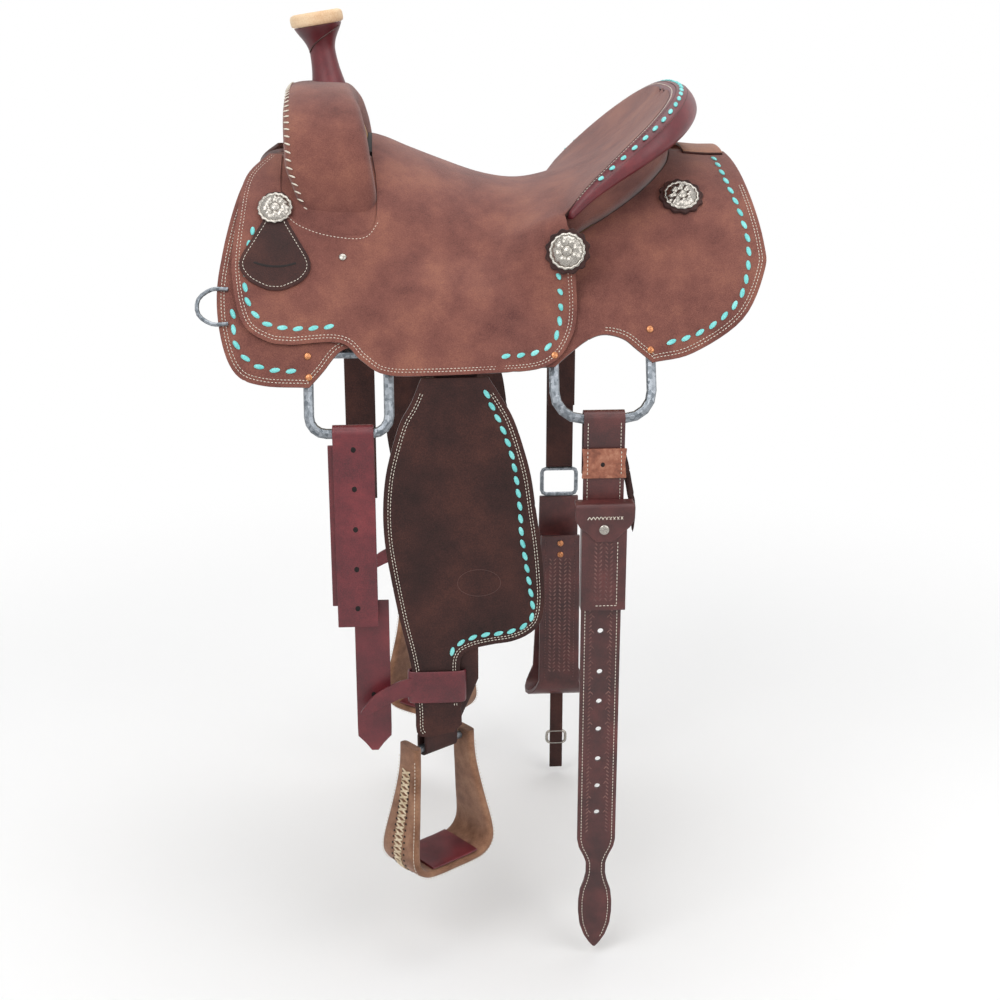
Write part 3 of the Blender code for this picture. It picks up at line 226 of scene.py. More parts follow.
def cut_hide(loop, lay, cell=0.010):
    # A hide cut to a flat outline, and laid over what lies under it
    bm = bmesh.new()
    face = bm.faces.new([bm.verts.new((x, w, 0.0)) for x, w in loop])
    bm.normal_update()
    if face.normal.z < 0:
        face.normal_flip()
    for axis in (0, 1):
        low, high = min(p[axis] for p in loop), max(p[axis] for p in loop)
        for k in range(1, int((high - low) / cell) + 1):
            spot = [0.0, 0.0, 0.0]
            spot[axis] = low + k * cell
            way = [float(axis == 0), float(axis == 1), 0.0]
            bmesh.ops.bisect_plane(bm, geom=bm.verts[:] + bm.edges[:] + bm.faces[:], dist=1e-6,
                                   plane_co=spot, plane_no=way)
    bmesh.ops.remove_doubles(bm, verts=bm.verts[:], dist=0.0008)
    for v in bm.verts:
        v.co = lay(v.co.x, v.co.y)
    return bm


SHARP = math.radians(50)


def piece(name, bm, finishes, body, replaces=(), slot=None, thick=0.0, edge=0.0, rounds=0):
    # A finished piece: its mesh, its finishes, its leather's thickness and worn edges, and what it rides on
    mesh = bpy.data.meshes.new(name)
    bm.to_mesh(mesh)
    bm.free()
    for finish in finishes:
        mesh.materials.append(finish)
    mesh.shade_smooth()
    mesh.set_sharp_from_angle(angle=SHARP)
    made = bpy.data.objects.new(name, mesh)
    bpy.context.collection.objects.link(made)
    if thick:
        wall = made.modifiers.new("thickness", "SOLIDIFY")
        wall.thickness = thick
        wall.offset = -1.0
        wall.material_offset_rim = len(finishes) - 1
    if edge:
        worn = made.modifiers.new("worn_edge", "BEVEL")
        worn.width = edge
        worn.segments = 2
        worn.limit_method = "ANGLE"
        worn.angle_limit = SHARP
    if rounds:
        soft = made.modifiers.new("rounding", "SUBSURF")
        soft.levels = soft.render_levels = rounds
    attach(made, body)
    if replaces:
        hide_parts(*replaces)
    return made


def other_side(bm):
    # The off side's copy of a near piece
    made = bm.copy()
    bmesh.ops.scale(made, vec=(1.0, -1.0, 1.0), verts=made.verts[:])
    bmesh.ops.reverse_faces(made, faces=made.faces[:])
    return made


def pair(name, bm, finishes, bodies, replaces=(), **rest):
    # A near piece and its off twin, on a body each or on one body
    near, off = bodies if isinstance(bodies, tuple) else (bodies, bodies)
    twin = other_side(bm)
    piece(name + "_near", bm, finishes, near, tuple(n + "_near" for n in replaces), **rest)
    piece(name + "_off", twin, finishes, off, tuple(n + "_off" for n in replaces), **rest)


def wool(name):
    # Sheepskin pile: matted locks about 6 mm wide and fibres drawn at about 1 mm, in a dull, warm white
    made, tree, shader = blank(name)
    where = add(tree, "TexCoord").outputs["Object"]
    locks = add(tree, "TexNoise", {"Vector": where, "Scale": 160.0, "Detail": 5.0, "Roughness": 0.7,
                                   "Distortion": 1.5})
    tone = add(tree, "ValToRGB", {"Fac": locks.outputs["Fac"]})
    tone.color_ramp.elements[0].position, tone.color_ramp.elements[0].color = 0.30, linear("#a58c68")
    tone.color_ramp.elements[1].position, tone.color_ramp.elements[1].color = 0.72, linear("#e6d7b8")
    tree.links.new(tone.outputs["Color"], shader.inputs["Base Color"])
    pile = add(tree, "Bump", {"Height": locks.outputs["Fac"], "Strength": 0.9, "Distance": 0.004})
    tree.links.new(pile.outputs["Normal"], shader.inputs["Normal"])
    shader.inputs["Roughness"].default_value = 0.95
    shader.inputs["Sheen Weight"].default_value = 0.4
    return made


sheepskin = wool("sheepskin_lining")
# The skirt's outline, as x and the distance down the side
SKIRT_FRONT_EDGE = [(-0.255, 0.030), (-0.285, 0.082), (-0.305, 0.152), (-0.319, 0.230), (-0.315, 0.291),
                    (-0.299, 0.332), (-0.268, 0.346), (-0.215, 0.349)]
FRONT_ARCH = [(-0.215, 0.349), (-0.199, 0.331), (-0.179, 0.306), (-0.158, 0.300), (-0.138, 0.312),
              (-0.122, 0.324)]
REAR_ARCH = [(0.070, 0.324), (0.090, 0.305), (0.110, 0.290), (0.129, 0.285), (0.151, 0.293),
             (0.167, 0.308), (0.185, 0.325)]
SKIRT_REAR_EDGE = [(0.185, 0.325), (0.234, 0.316), (0.293, 0.280), (0.322, 0.225), (0.324, 0.190),
                   (0.312, 0.111), (0.300, 0.030)]
# Edges of the lining's mesh longer than this are cut, in two rounds, before the pile is raised
LOCK = 0.012
for end in ("near", "off"):
    bm = bmesh.new()
    bm.from_mesh(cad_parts["fleece_" + end].data)
    bmesh.ops.remove_doubles(bm, verts=bm.verts[:], dist=1e-5)
    for cuts in (2, 1):
        wide = [e for e in bm.edges if e.calc_length() > LOCK]
        bmesh.ops.subdivide_edges(bm, edges=wide, cuts=cuts, use_grid_fill=True)
        bmesh.ops.triangulate(bm, faces=bm.faces[:])
    bm.normal_update()
    # The pile is raised or pressed at random underneath, and only pressed where the skirt covers it
    for v in bm.verts:
        inward = v.normal.dot(Vector((0.0, v.co.y, v.co.z + 0.12))) < 0
        v.co += v.normal * (random.uniform(-0.0012, 0.0016) if inward else random.uniform(-0.0012, -0.0002))
    lining = piece("sheepskin_" + end, bm, [sheepskin], "saddle", ("fleece_" + end,), slot="fleece")

# Tree and ground seat
# Two wooden bars, a fork and a cantle board, covered in wet rawhide that dried hard and yellow. The ground
# seat is built up on them in pale skirting leather. All of it is seen only from below and at the gullet.


def hide(name, deep, middle, light, nap, depth, roughness, patch=55.0, sheen=0.0, coat=0.0):
    # Leather: tone in patches, patch millimetres wide, and a nap or grain, nap millimetres wide
    made, tree, shader = blank(name)
    where = add(tree, "TexCoord").outputs["Object"]
    patches = add(tree, "TexNoise", {"Vector": where, "Scale": 1000.0 / patch, "Detail": 4.0,
                                     "Roughness": 0.6})
    grains = add(tree, "TexNoise", {"Vector": where, "Scale": 1000.0 / nap, "Detail": 3.0,
                                    "Roughness": 0.65})
    share = add(tree, "Mix", {0: 0.42, 2: patches.outputs["Fac"], 3: grains.outputs["Fac"]},
                data_type="FLOAT")
    tone = add(tree, "ValToRGB", {"Fac": share.outputs[0]})
    tone.color_ramp.elements[0].position, tone.color_ramp.elements[0].color = 0.34, linear(deep)
    tone.color_ramp.elements[1].position, tone.color_ramp.elements[1].color = 0.66, linear(light)
    tone.color_ramp.elements.new(0.5).color = linear(middle)
    relief = add(tree, "Bump", {"Height": grains.outputs["Fac"], "Strength": 0.7, "Distance": depth})
    tree.links.new(tone.outputs["Color"], shader.inputs["Base Color"])
    tree.links.new(relief.outputs["Normal"], shader.inputs["Normal"])
    shader.inputs["Roughness"].default_value = roughness
    shader.inputs["Specular IOR Level"].default_value = 0.5 if roughness < 0.55 else 0.25
    shader.inputs["Sheen Weight"].default_value = sheen
    shader.inputs["Coat Weight"].default_value = coat
    shader.inputs["Coat Roughness"].default_value = 0.35
    return made


def dress(finish, *names):
    # A finish for nodes whose shape is right as it stands
    for name in names:
        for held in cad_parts[name].material_slots:
            held.material = finish


# Rawhide dries glassy and uneven, with faint veins
rawhide_cover = hide("dried_rawhide", "#a07c4a", "#c3a271", "#dcc49a", 9.0, 0.0008, 0.45, patch=30.0)
# Vegetable-tanned skirting leather, unfinished: pale and even, with a close grain
skirting = hide("pale_skirting_leather", "#cfa57e", "#e3c4a0", "#efd9bb", 1.6, 0.0003, 0.6)
dress(rawhide_cover, "tree_bar_near", "tree_bar_off", "tree_fork", "cantle_board")
dress(skirting, "ground_seat")

# Skirts
# Heavy skirting leather with the rough side out, 5 mm thick, cut to a rounded square at each end and arched
# over the rigging rings. Two rows of white thread follow the edge, and turquoise lacing runs inside them.
SKIRT = 0.005
# The bars of the tree that the skirt lies over: thickness, half width, rear end and its taper
BAR, BAR_SPAN, BAR_REAR, BAR_TAPER = 0.018, 0.200, 0.280, 0.080
# The cantle's rim, which the skirt is cut round: its two ends and its top
CANTLE_END_X, CANTLE_HALF_WIDTH, CANTLE_END_Z = 0.086, 0.178, 0.036
CANTLE_TOP_X, CANTLE_TOP_Z = 0.226, 0.170
RIM_STEPS = 48


def ease(t):
    # From 0 to 1, with a slow start and a slow end
    t = min(max(t, 0.0), 1.0)
    return t * t * (3 - 2 * t)


def bar_top(x, w):
    # How high the bar's top lies above the lining's underside
    thin = 1 - 0.75 * ease((x - BAR_REAR + BAR_TAPER) / BAR_TAPER)
    return LINING + GAP + BAR * thin * max(1 - (w / BAR_SPAN) ** 2, 0.0)


def skirt_lay(x, w, h=0.0):
    # A point on the skirt's face, or h above it
    return side(x, w, bar_top(x, w) + GAP + SKIRT + h)


def locate(x, y, z):
    # How far down the side a point is, and how high above it
    low, high = 0.0, 0.36
    for _ in range(44):
        a, b = low + (high - low) / 3, high - (high - low) / 3
        near_a, near_b = ((side(x, w, 0.0) - Vector((x, y, z))).length for w in (a, b))
        low, high = (low, b) if near_a < near_b else (a, high)
    return low, (side(x, low, 0.0) - Vector((x, y, z))).length


def rim(share):
    # A point of the cantle's rim, from 0 at the near end to 1 at the off end
    angle = math.pi * (share - 0.5)
    along, across = abs(math.cos(angle)) ** (2 / 3), abs(math.sin(angle)) ** (2 / 3)
    x = CANTLE_END_X + (CANTLE_TOP_X - CANTLE_END_X) * along
    z = CANTLE_END_Z + (CANTLE_TOP_Z - CANTLE_END_Z) * along ** 0.85
    w, d = locate(x, CANTLE_HALF_WIDTH * across, z)
    return x, math.copysign(w, angle), d


RIM_SHARES = [k / RIM_STEPS for k in range(RIM_STEPS + 1)]
RIM = [rim(share) for share in RIM_SHARES]


def around(line, k):
    # The points before and after one point of a line
    return line[max(k - 1, 0)], line[min(k + 1, len(line) - 1)]


def heading(line, k):
    # The direction of a flat line at one of its points
    a, b = around(line, k)
    return Vector((b[0] - a[0], b[1] - a[1])).normalized()


def beside(line, distance):
    # A flat line moved to its left by a distance
    out = []
    for k, p in enumerate(line):
        a, b = around(line, k)
        length = max(math.dist(a[:2], b[:2]), 1e-9)
        out.append((p[0] - (b[1] - a[1]) / length * distance, p[1] + (b[0] - a[0]) / length * distance))
    return out


def near(line):
    # A line of the off side, carried over to the near side
    return [(x, -w) for x, w in line]


def stations(line, pitch, lay, lift=0.0, tilt=0.0):
    # Even places along a line that is laid on leather
    pts = [lay(a, b, lift) for a, b in line]
    outs = [(lay(a, b, lift + 0.001) - p).normalized() for (a, b), p in zip(line, pts)]
    return spaced(pts, outs, pitch, tilt)


def spaced(pts, outs, pitch, tilt=0.0):
    # Even places along a line in space: x runs along it, z points out
    marks = np.concatenate(([0.0], np.cumsum([(q - p).length for p, q in zip(pts, pts[1:])])))
    count = max(int(marks[-1] / pitch), 1)
    spots = []
    for k in range(count):
        s = (k + 0.5) * marks[-1] / count
        i = min(int(np.searchsorted(marks, s)) - 1, len(pts) - 2)
        u = (s - marks[i]) / max(marks[i + 1] - marks[i], 1e-9)
        out = outs[i].lerp(outs[i + 1], u).normalized()
        along = pts[i + 1] - pts[i]
        along = (along - out * along.dot(out)).normalized()
        spot = Matrix((along, out.cross(along), out)).transposed().to_4x4()
        spot.translation = pts[i].lerp(pts[i + 1], u)
        spots.append(spot @ Matrix.Rotation(tilt, 4, "Z"))
    return spots


def sewn(bm, spots, size, rounds=1):
    # One rounded stitch at each place
    for spot in spots:
        bmesh.ops.create_icosphere(bm, subdivisions=rounds, radius=0.5,
                                   matrix=spot @ Matrix.Diagonal((*size, 1.0)))


def stitch_row(bm, line, lay, pitch=0.0042, length=0.0034, width=0.0010, height=0.0010, lift=0.0003):
    # A row of stitches or tool marks on leather: pitch apart, and lift is how high their middles lie over it
    sewn(bm, stations(line, pitch, lay, lift), (length, width, height))


def lace_row(bm, line, lay, pitch=0.0175, length=0.0125, width=0.0058):
    # Lacing that comes up through the leather in leaves, each turned a little
    sewn(bm, stations(line, pitch, lay, 0.0004, tilt=0.20), (length, width, 0.0026), rounds=2)


def thread(name, colour):
    # Waxed linen thread: a matt twist drawn at 0.6 mm a turn. Its darker flecks, laid at random, are painted
    # shade for the grooves where the turns meet
    made, tree, shader = blank(name)
    where = add(tree, "TexCoord").outputs["Object"]
    turns = add(tree, "TexNoise", {"Vector": where, "Scale": 1600.0, "Detail": 1.0})
    tone = add(tree, "ValToRGB", {"Fac": turns.outputs["Fac"]})
    tone.color_ramp.elements[0].position, tone.color_ramp.elements[0].color = 0.30, linear(colour[0])
    tone.color_ramp.elements[1].position, tone.color_ramp.elements[1].color = 0.60, linear(colour[1])
    tree.links.new(tone.outputs["Color"], shader.inputs["Base Color"])
    shader.inputs["Roughness"].default_value = 0.7
    return made


white_thread = thread("waxed_white_thread", ("#b9ad9a", "#efe8da"))
# Flat leather lacing dyed turquoise: an even, dull sheen with soft wear
turquoise_lace = hide("turquoise_lacing", "#4fb0ae", "#74cfcd", "#9be3df", 1.2, 0.0002, 0.5, patch=20.0)
# Suede side out: a short velvety nap, red-brown with darker rubbed patches
roughout = hide("brown_roughout_leather", "#5b3430", "#7a4b42", "#93604f", 1.3, 0.0006, 0.9, sheen=0.25)
# Cut edges are dyed dark and rubbed with wax
cut_edge = hide("burnished_edge", "#2e1714", "#45241f", "#5c332b", 1.0, 0.0002, 0.4)

SKIRT_TOP_W, ARCH_END_W = 0.030, 0.172
inner = [(x, w) for x, w in beside(RIM, -0.0045) if SKIRT_TOP_W < w < ARCH_END_W]
upper_edge = [(inner[-1][0] - 0.010, ARCH_END_W), (-0.247, ARCH_END_W), (-0.247, SKIRT_TOP_W)]
skirt_loop = joined(curve(SKIRT_FRONT_EDGE), curve(FRONT_ARCH), curve(REAR_ARCH), curve(SKIRT_REAR_EDGE),
                    inner, upper_edge)
bm = cut_hide(near(skirt_loop), skirt_lay)
pair("skirt_leather", bm, [roughout, cut_edge], "saddle", ("skirt",), thick=SKIRT - 0.0004, edge=0.0008)
front_edge = curve(SKIRT_FRONT_EDGE[1:]) + curve(FRONT_ARCH)[1:18]
rear_edge = curve(REAR_ARCH)[18:] + curve(SKIRT_REAR_EDGE)[1:-6]
ROW_INSETS = (0.0050, 0.0085)
white, blue = bmesh.new(), bmesh.new()
for edge in (front_edge, rear_edge):
    for inset in ROW_INSETS:
        stitch_row(white, near(beside(edge, -inset)), skirt_lay)
FRONT_LACING = [(-0.302, 0.254), (-0.300, 0.272), (-0.300, 0.290), (-0.293, 0.307), (-0.280, 0.320),
                (-0.263, 0.327), (-0.245, 0.329), (-0.226, 0.330)]
REAR_LACING = [(0.199, 0.304), (0.233, 0.297), (0.265, 0.281), (0.291, 0.255), (0.302, 0.223),
               (0.305, 0.192), (0.301, 0.162), (0.295, 0.134), (0.289, 0.106), (0.285, 0.077),
               (0.282, 0.050)]
for line in (FRONT_LACING, REAR_LACING):
    lace_row(blue, near(curve(line)), skirt_lay)
pair("skirt_stitching", white, [white_thread], "saddle", slot="roughout")
pair("skirt_lacing", blue, [turquoise_lace], "saddle", slot="roughout")

# Seat and jockeys
# One roughout hide covers the seat and both jockeys. It dips behind the swell, dishes up to the cantle's rim
# and stands out over the stirrup straps. It is cut round the swell, laced in turquoise and sewn in white.

# How high the seat stands on its middle line, as x and height above the skirts
SEAT_CROWN = [(-0.32, 0.012), (-0.265, 0.026), (-0.19, 0.046), (-0.135, 0.054), (-0.096, 0.049),
              (-0.05, 0.041), (0.0, 0.030), (0.05, 0.0225), (0.10, 0.0215), (0.14, 0.024), (0.18, 0.040),
              (0.21, 0.063), (0.24, 0.085)]
SEAT_EDGE_W, SEAT_FRONT, HIDE = 0.240, -0.139, 0.004
CROWN_X, CROWN_D = (np.array([p[k] for p in curve(SEAT_CROWN, 4)]) for k in (0, 1))
RIM_HALF = [p for p in RIM if p[1] >= -1e-6][::-1]
RIM_X, RIM_W, RIM_D = ([abs(p[k]) for p in RIM_HALF] for k in range(3))


def seat_top(x, w):
    # How high the hide's face lies: the crown on the middle line fades out sideways, and behind it the dish
    # rises to the rim. The jockey stands out over the stirrup strap by the room that the strap needs.
    room = 0.0125 / (1 + ((x + 0.046) / 0.075) ** 6)
    edge = LINING + 3 * GAP + SKIRT + room * ease((abs(w) - 0.16) / 0.08)
    crown = float(np.interp(x, CROWN_X, CROWN_D))
    plain = edge + crown * (1 - min(abs(w) / SEAT_EDGE_W, 1.0) ** 2) ** 2
    rim_w, rim_d = float(np.interp(x, RIM_X, RIM_W)), float(np.interp(x, RIM_X, RIM_D)) - HIDE
    centre = LINING + 3 * GAP + SKIRT + crown
    if abs(w) <= rim_w:
        dish = centre + (rim_d - centre) * (abs(w) / max(rim_w, 0.02)) ** 2.4
    else:
        dish = edge + (rim_d - edge) * (1 - ease((abs(w) - rim_w) / max(SEAT_EDGE_W + 0.02 - rim_w, 0.02)))
    high = plain + (dish - plain) * ease((x + 0.02) / (CANTLE_END_X + 0.02))
    return max(high, bar_top(x, w) + 2 * GAP + SKIRT) + HIDE


def seat_lay(x, w, h=0.0):
    # A point on the face of the seat and the jockeys, or h above it
    return side(x, w, seat_top(x, w) + h)


JOCKEY_FRONT = [(-0.262, 0.060), (-0.288, 0.095), (-0.297, 0.152), (-0.302, 0.215), (-0.290, 0.274),
                (-0.262, 0.296), (-0.234, 0.300)]
JOCKEY_LOW = [(-0.234, 0.300), (-0.178, 0.296), (-0.155, 0.316), (-0.128, 0.334), (-0.077, 0.337),
              (0.030, 0.331), (0.070, 0.317), (0.091, 0.285), (0.098, 0.250), (0.096, 0.208)]
SWELL_X = -0.19
SWELL_FOOT = [(-0.250, 0.070), (-0.249, 0.130), (-0.236, 0.160), (-0.208, 0.174), (-0.174, 0.178),
              (-0.146, 0.174), (-0.131, 0.155), (-0.130, 0.110), (-0.135, 0.070)]
# The jockey is cut close round the swell, a little inside the swell's foot
SWELL_CUT = [(SWELL_X + (x - SWELL_X) * 0.94, w * 0.945) for x, w in SWELL_FOOT]
rim_line = [p[:2] for p in RIM if p[1] > 0.004][::-1]
half = joined([(SEAT_FRONT, 0.0)], curve(SWELL_CUT)[::-1], curve(JOCKEY_FRONT), curve(JOCKEY_LOW),
              rim_line, [(CANTLE_TOP_X, 0.0)])
FINE_CELL = 0.006
seat_loop = joined(half, [(x, -w) for x, w in half[::-1] if w > 1e-6])
bm = cut_hide(seat_loop, lambda x, w: seat_lay(x, w, 0.0005), cell=FINE_CELL)
piece("seat_hide", bm, [roughout, cut_edge], "saddle", ("seat_leather",), thick=HIDE - 0.0004, edge=0.0006)
jockey_edge = joined(curve(JOCKEY_FRONT), curve(JOCKEY_LOW))
white, blue = bmesh.new(), bmesh.new()
for inset in ROW_INSETS:
    stitch_row(white, near(beside(jockey_edge, -inset)), seat_lay)
JOCKEY_LACING = ([(-0.276, 0.160), (-0.282, 0.183), (-0.286, 0.202), (-0.286, 0.239), (-0.279, 0.259),
                  (-0.266, 0.274), (-0.246, 0.280), (-0.224, 0.281), (-0.202, 0.279), (-0.182, 0.276)],
                 [(0.076, 0.203), (0.077, 0.218), (0.079, 0.235), (0.078, 0.256), (0.074, 0.279),
                  (0.064, 0.296), (0.045, 0.306), (0.023, 0.310), (0.003, 0.312)])
for line in JOCKEY_LACING:
    lace_row(blue, near(curve(line)), seat_lay)
pair("jockey_stitching", white, [white_thread], "saddle", slot="roughout")
pair("jockey_lacing", blue, [turquoise_lace], "saddle", slot="roughout")


def oblong(x0, w0, x1, w1):
    # The outline of a strip cut square
    return [(x0, w0), (x1, w0), (x1, w1), (x0, w1)]


# Harness leather dyed near black and left matt. A strip of it closes the seat's front edge behind the swell.
# The same near black is also laid as painted shade in the holes and slits of the straps, the rope keeper and
# the stirrups
near_black_and_hole_shade = hide("near_black_leather_and_hole_shade", "#0d0a09", "#191312", "#271f1d", 1.2, 0.0002, 0.6)
bm = cut_hide(oblong(SEAT_FRONT - 0.005, -0.060, SEAT_FRONT + 0.001, 0.060),
              lambda x, w: seat_lay(x, w, 0.0002))
piece("seat_front_strip", bm, [near_black_and_hole_shade], "saddle", ("seat_front_trim",), thick=0.010, edge=0.0008)

# Cantle
# The cantle's back is covered in roughout. A smooth burgundy binding is folded over the rim and stitched
# down. Along it run a row of white thread, a stamped zigzag, turquoise lacing and a pressed groove.

# Smooth vegetable-tanned leather, dyed burgundy and glazed: soft gloss, fine pores
burgundy = hide("burgundy_glazed_leather", "#3c1118", "#5f1d25", "#7c2c31", 1.1, 0.0002, 0.40, patch=45.0,
                coat=0.1)


def lofted(rings, closed=False, round_section=True, capped=True):
    # A skin over rings of points, in order
    bm = bmesh.new()
    rows = rings + rings[:1] if closed else rings
    count = len(rings[0]) if round_section else len(rings[0]) - 1
    bmesh.ops.create_grid(bm, x_segments=count, y_segments=len(rows) - 1, size=1.0)
    for v in bm.verts:
        row, spot = round((v.co.y + 1) / 2 * (len(rows) - 1)), round((v.co.x + 1) / 2 * count)
        v.co = rows[row][spot % len(rings[0])]
    bmesh.ops.remove_doubles(bm, verts=bm.verts[:], dist=1e-6)
    if capped and round_section and not closed:
        bmesh.ops.holes_fill(bm, edges=[e for e in bm.edges if e.is_boundary], sides=0)
    if round_section:
        bmesh.ops.recalc_face_normals(bm, faces=bm.faces[:])
    return bm


# The binding's section, as out from the rim and up, over its face first and then back underneath
BINDING_START = 0.0009
BINDING_PROFILE = [(0.0, 0.0012), (0.005, 0.0045), (0.012, 0.0052), (0.022, 0.0006), (0.031, -0.011),
                   (0.0345, -0.023), (0.031, -0.0325), (0.026, -0.028), (0.020, -0.014), (0.011, -0.005),
                   (0.0, -0.0033)]


def binding_scale(share):
    # The binding is widest at the cantle's top and a quarter as wide at its ends
    return 0.25 + 0.75 * abs(math.sin(math.pi * share)) ** 0.8


def read_off(points, at):
    # The second number of a line of points, at a place along it given by the first
    return float(np.interp(at, [p[0] for p in points], [p[1] for p in points]))


def rim_at(share):
    # A point of the rim between its steps
    return [float(np.interp(share, RIM_SHARES, [p[i] for p in RIM])) for i in range(3)]


def binding_lay(share, out, h=0.0):
    # A point on the binding: share along the rim, out across its upper face
    x, w, d = rim_at(share)
    low, high = rim_at(max(share - 0.01, 0.0)), rim_at(min(share + 0.01, 1.0))
    along = Vector((high[0] - low[0], high[1] - low[1])).normalized()
    scale = binding_scale(share)
    reach = BINDING_START + out * scale
    return side(x + along.y * reach, w - along.x * reach,
                d + read_off(BINDING_PROFILE[:6], out) * scale + h)


loop = curve(BINDING_PROFILE + BINDING_PROFILE[:1], 3)[:-1]
rings = []
for k, (x, w, d) in enumerate(RIM):
    along = heading(RIM, k)
    scale = binding_scale(RIM_SHARES[k])
    ring = []
    for out, up in loop:
        reach = BINDING_START + out * scale
        ring.append(side(x + along.y * reach, w - along.x * reach, d + up * scale))
    rings.append(ring)
piece("cantle_binding_leather", lofted(rings), [burgundy], "saddle", ("cantle_binding",), rounds=1)
share_line = [k / 160 for k in range(2, 159)]
white, blue, groove = bmesh.new(), bmesh.new(), bmesh.new()
stitch_row(white, [(s, 0.0022) for s in share_line], binding_lay, pitch=0.0040, length=0.0032)
lace_row(blue, [(s, 0.0135) for s in share_line[4:-4]], binding_lay, pitch=0.0170, length=0.0120,
         width=0.0052)
for spot in stations([(s, 0.0075) for s in share_line[3:-3]], 0.0050, binding_lay, 0.0001):
    for turn in (-0.9, 0.9):
        aside = Matrix.Translation((math.copysign(0.00125, turn), 0.0, 0.0))
        sewn(groove, [spot @ aside @ Matrix.Rotation(turn, 4, "Z")], (0.0038, 0.0009, 0.0006))
stitch_row(groove, [(s, 0.0210) for s in share_line[3:-3]], binding_lay, 0.0030, 0.0036, 0.0009, 0.0006,
           lift=0.0)
piece("binding_stitching", white, [white_thread], "saddle", slot="burgundy")
piece("binding_lacing", blue, [turquoise_lace], "saddle", slot="burgundy")
piece("binding_stamping", groove, [cut_edge], "saddle", slot="burgundy")

# The back stands on the bar between the skirts, and on the skirt further out
SKIRT_REACH = 0.136
rings = []
for (x, w), d in zip(beside(RIM, -0.0033), [p[2] for p in RIM]):
    foot = bar_top(x, w) + GAP if abs(w) < SKIRT_REACH else bar_top(x, w) + SKIRT + 2 * GAP
    crest = max(d - 0.006, foot + 0.004)
    rings.append([side(x, w, foot + (crest - foot) * s) for s in (1.0, 0.75, 0.5, 0.25, 0.0)])
bm = lofted(rings, round_section=False)
piece("cantle_back_hide", bm, [roughout, cut_edge], "saddle", ("cantle_back",), thick=0.003)

# The two skirts are joined behind the cantle by a strip of tan leather, tooled all over: uneven, half gloss
tooled_strip = hide("tan_tooled_strip", "#7d4b35", "#9a6347", "#b5805e", 2.2, 0.0006, 0.5)
bm = cut_hide(oblong(0.246, -0.046, 0.296, 0.046), lambda x, w: skirt_lay(x, w, 0.0034))
piece("connector_strip", bm, [tooled_strip, cut_edge], "saddle", ("skirt_connector",), thick=0.003,
      edge=0.0006)

# Swell and horn
# The swell's cover is one roughout hide pulled over the fork and laced along its front edge in white. The
# horn is wrapped in smooth burgundy leather with a diagonal seam, under a cap of pale skirting leather.

# The cover's front and rear edges, as z and x, and its arch from side to side, as y and z
SWELL_TOP = 0.181
SWELL_FRONT = [(0.015, -0.196), (0.030, -0.2165), (0.050, -0.2265), (0.093, -0.240), (0.163, -0.243)]
SWELL_REAR = [(0.015, -0.155), (0.030, -0.138), (0.050, -0.133), (0.093, -0.1385), (0.137, -0.144),
              (0.163, -0.150), (0.181, -0.161)]
SWELL_SIDE = [(0.151, 0.015), (0.154, 0.030), (0.156, 0.055), (0.154, 0.090), (0.136, 0.130),
              (0.104, 0.159), (0.058, 0.176), (0.0, SWELL_TOP)]
# Across the arch, from the front edge at -1 to the rear edge at 1, and how far in the hide rolls there
SWELL_SECTION = [(-0.93, 0.040), (-0.99, 0.028), (-1.0, 0.016), (-0.93, 0.0075), (-0.78, 0.0030),
                 (-0.5, 0.0006), (0.0, 0.0), (0.5, 0.0006), (0.78, 0.0030), (0.93, 0.0075), (1.0, 0.016),
                 (0.99, 0.028), (0.93, 0.040)]
half = curve(SWELL_SIDE, 4)
swell_path = [(-y, z) for y, z in half] + half[::-1][1:]
rings = []
for i, (y, z) in enumerate(swell_path):
    along = heading(swell_path, i)
    front, rear = read_off(SWELL_FRONT, z), read_off(SWELL_REAR, z)
    rings.append([Vector(((front + rear) / 2 + s * (rear - front) / 2, y + along.y * inward,
                          z - along.x * inward))
                  for s, inward in curve(SWELL_SECTION, 3)])
piece("swell_hide", lofted(rings, round_section=False), [roughout, cut_edge], "saddle", ("swell_cover",),
      thick=0.003, rounds=1)
white = bmesh.new()
# The lacing follows the tenth point of each ring, just behind the front edge
LACED = 10
run, outs = range(4, len(rings) - 4), []
for k in run:
    across = rings[k][LACED + 1] - rings[k][LACED - 1]
    out = across.cross(rings[k + 1][LACED] - rings[k - 1][LACED]).normalized()
    outs.append(out if out.dot(rings[k][LACED] - sum(rings[k], Vector()) / len(rings[k])) > 0 else -out)
spots = spaced([rings[k][LACED] + out * 0.0008 for k, out in zip(run, outs)], outs, 0.0095, tilt=1.05)
sewn(white, spots, (0.0105, 0.0022, 0.0014), rounds=2)
piece("swell_lacing", white, [white_thread], "saddle", slot="roughout")
# The cover's flange lies flat round its foot, in under the jockey's edge
foot = [(x, w) for x, w in near(curve(SWELL_CUT)) if w < -0.055]
flange = [(SWELL_X + (x - SWELL_X) * 1.04, w * 1.02) for x, w in foot]
flange += [(SWELL_X + (x - SWELL_X) * 0.55, min(w * 0.80, -0.05)) for x, w in foot[::-1]]
bm = cut_hide(flange, lambda x, w: seat_lay(x, w, -0.0016), cell=FINE_CELL)
pair("swell_flange", bm, [roughout], "saddle", slot="roughout", thick=0.0012)
white = bmesh.new()
stitch_row(white, near(beside(curve(SWELL_CUT[1:-2]), 0.0035)), seat_lay)
pair("swell_foot_stitching", white, [white_thread], "saddle", slot="roughout")


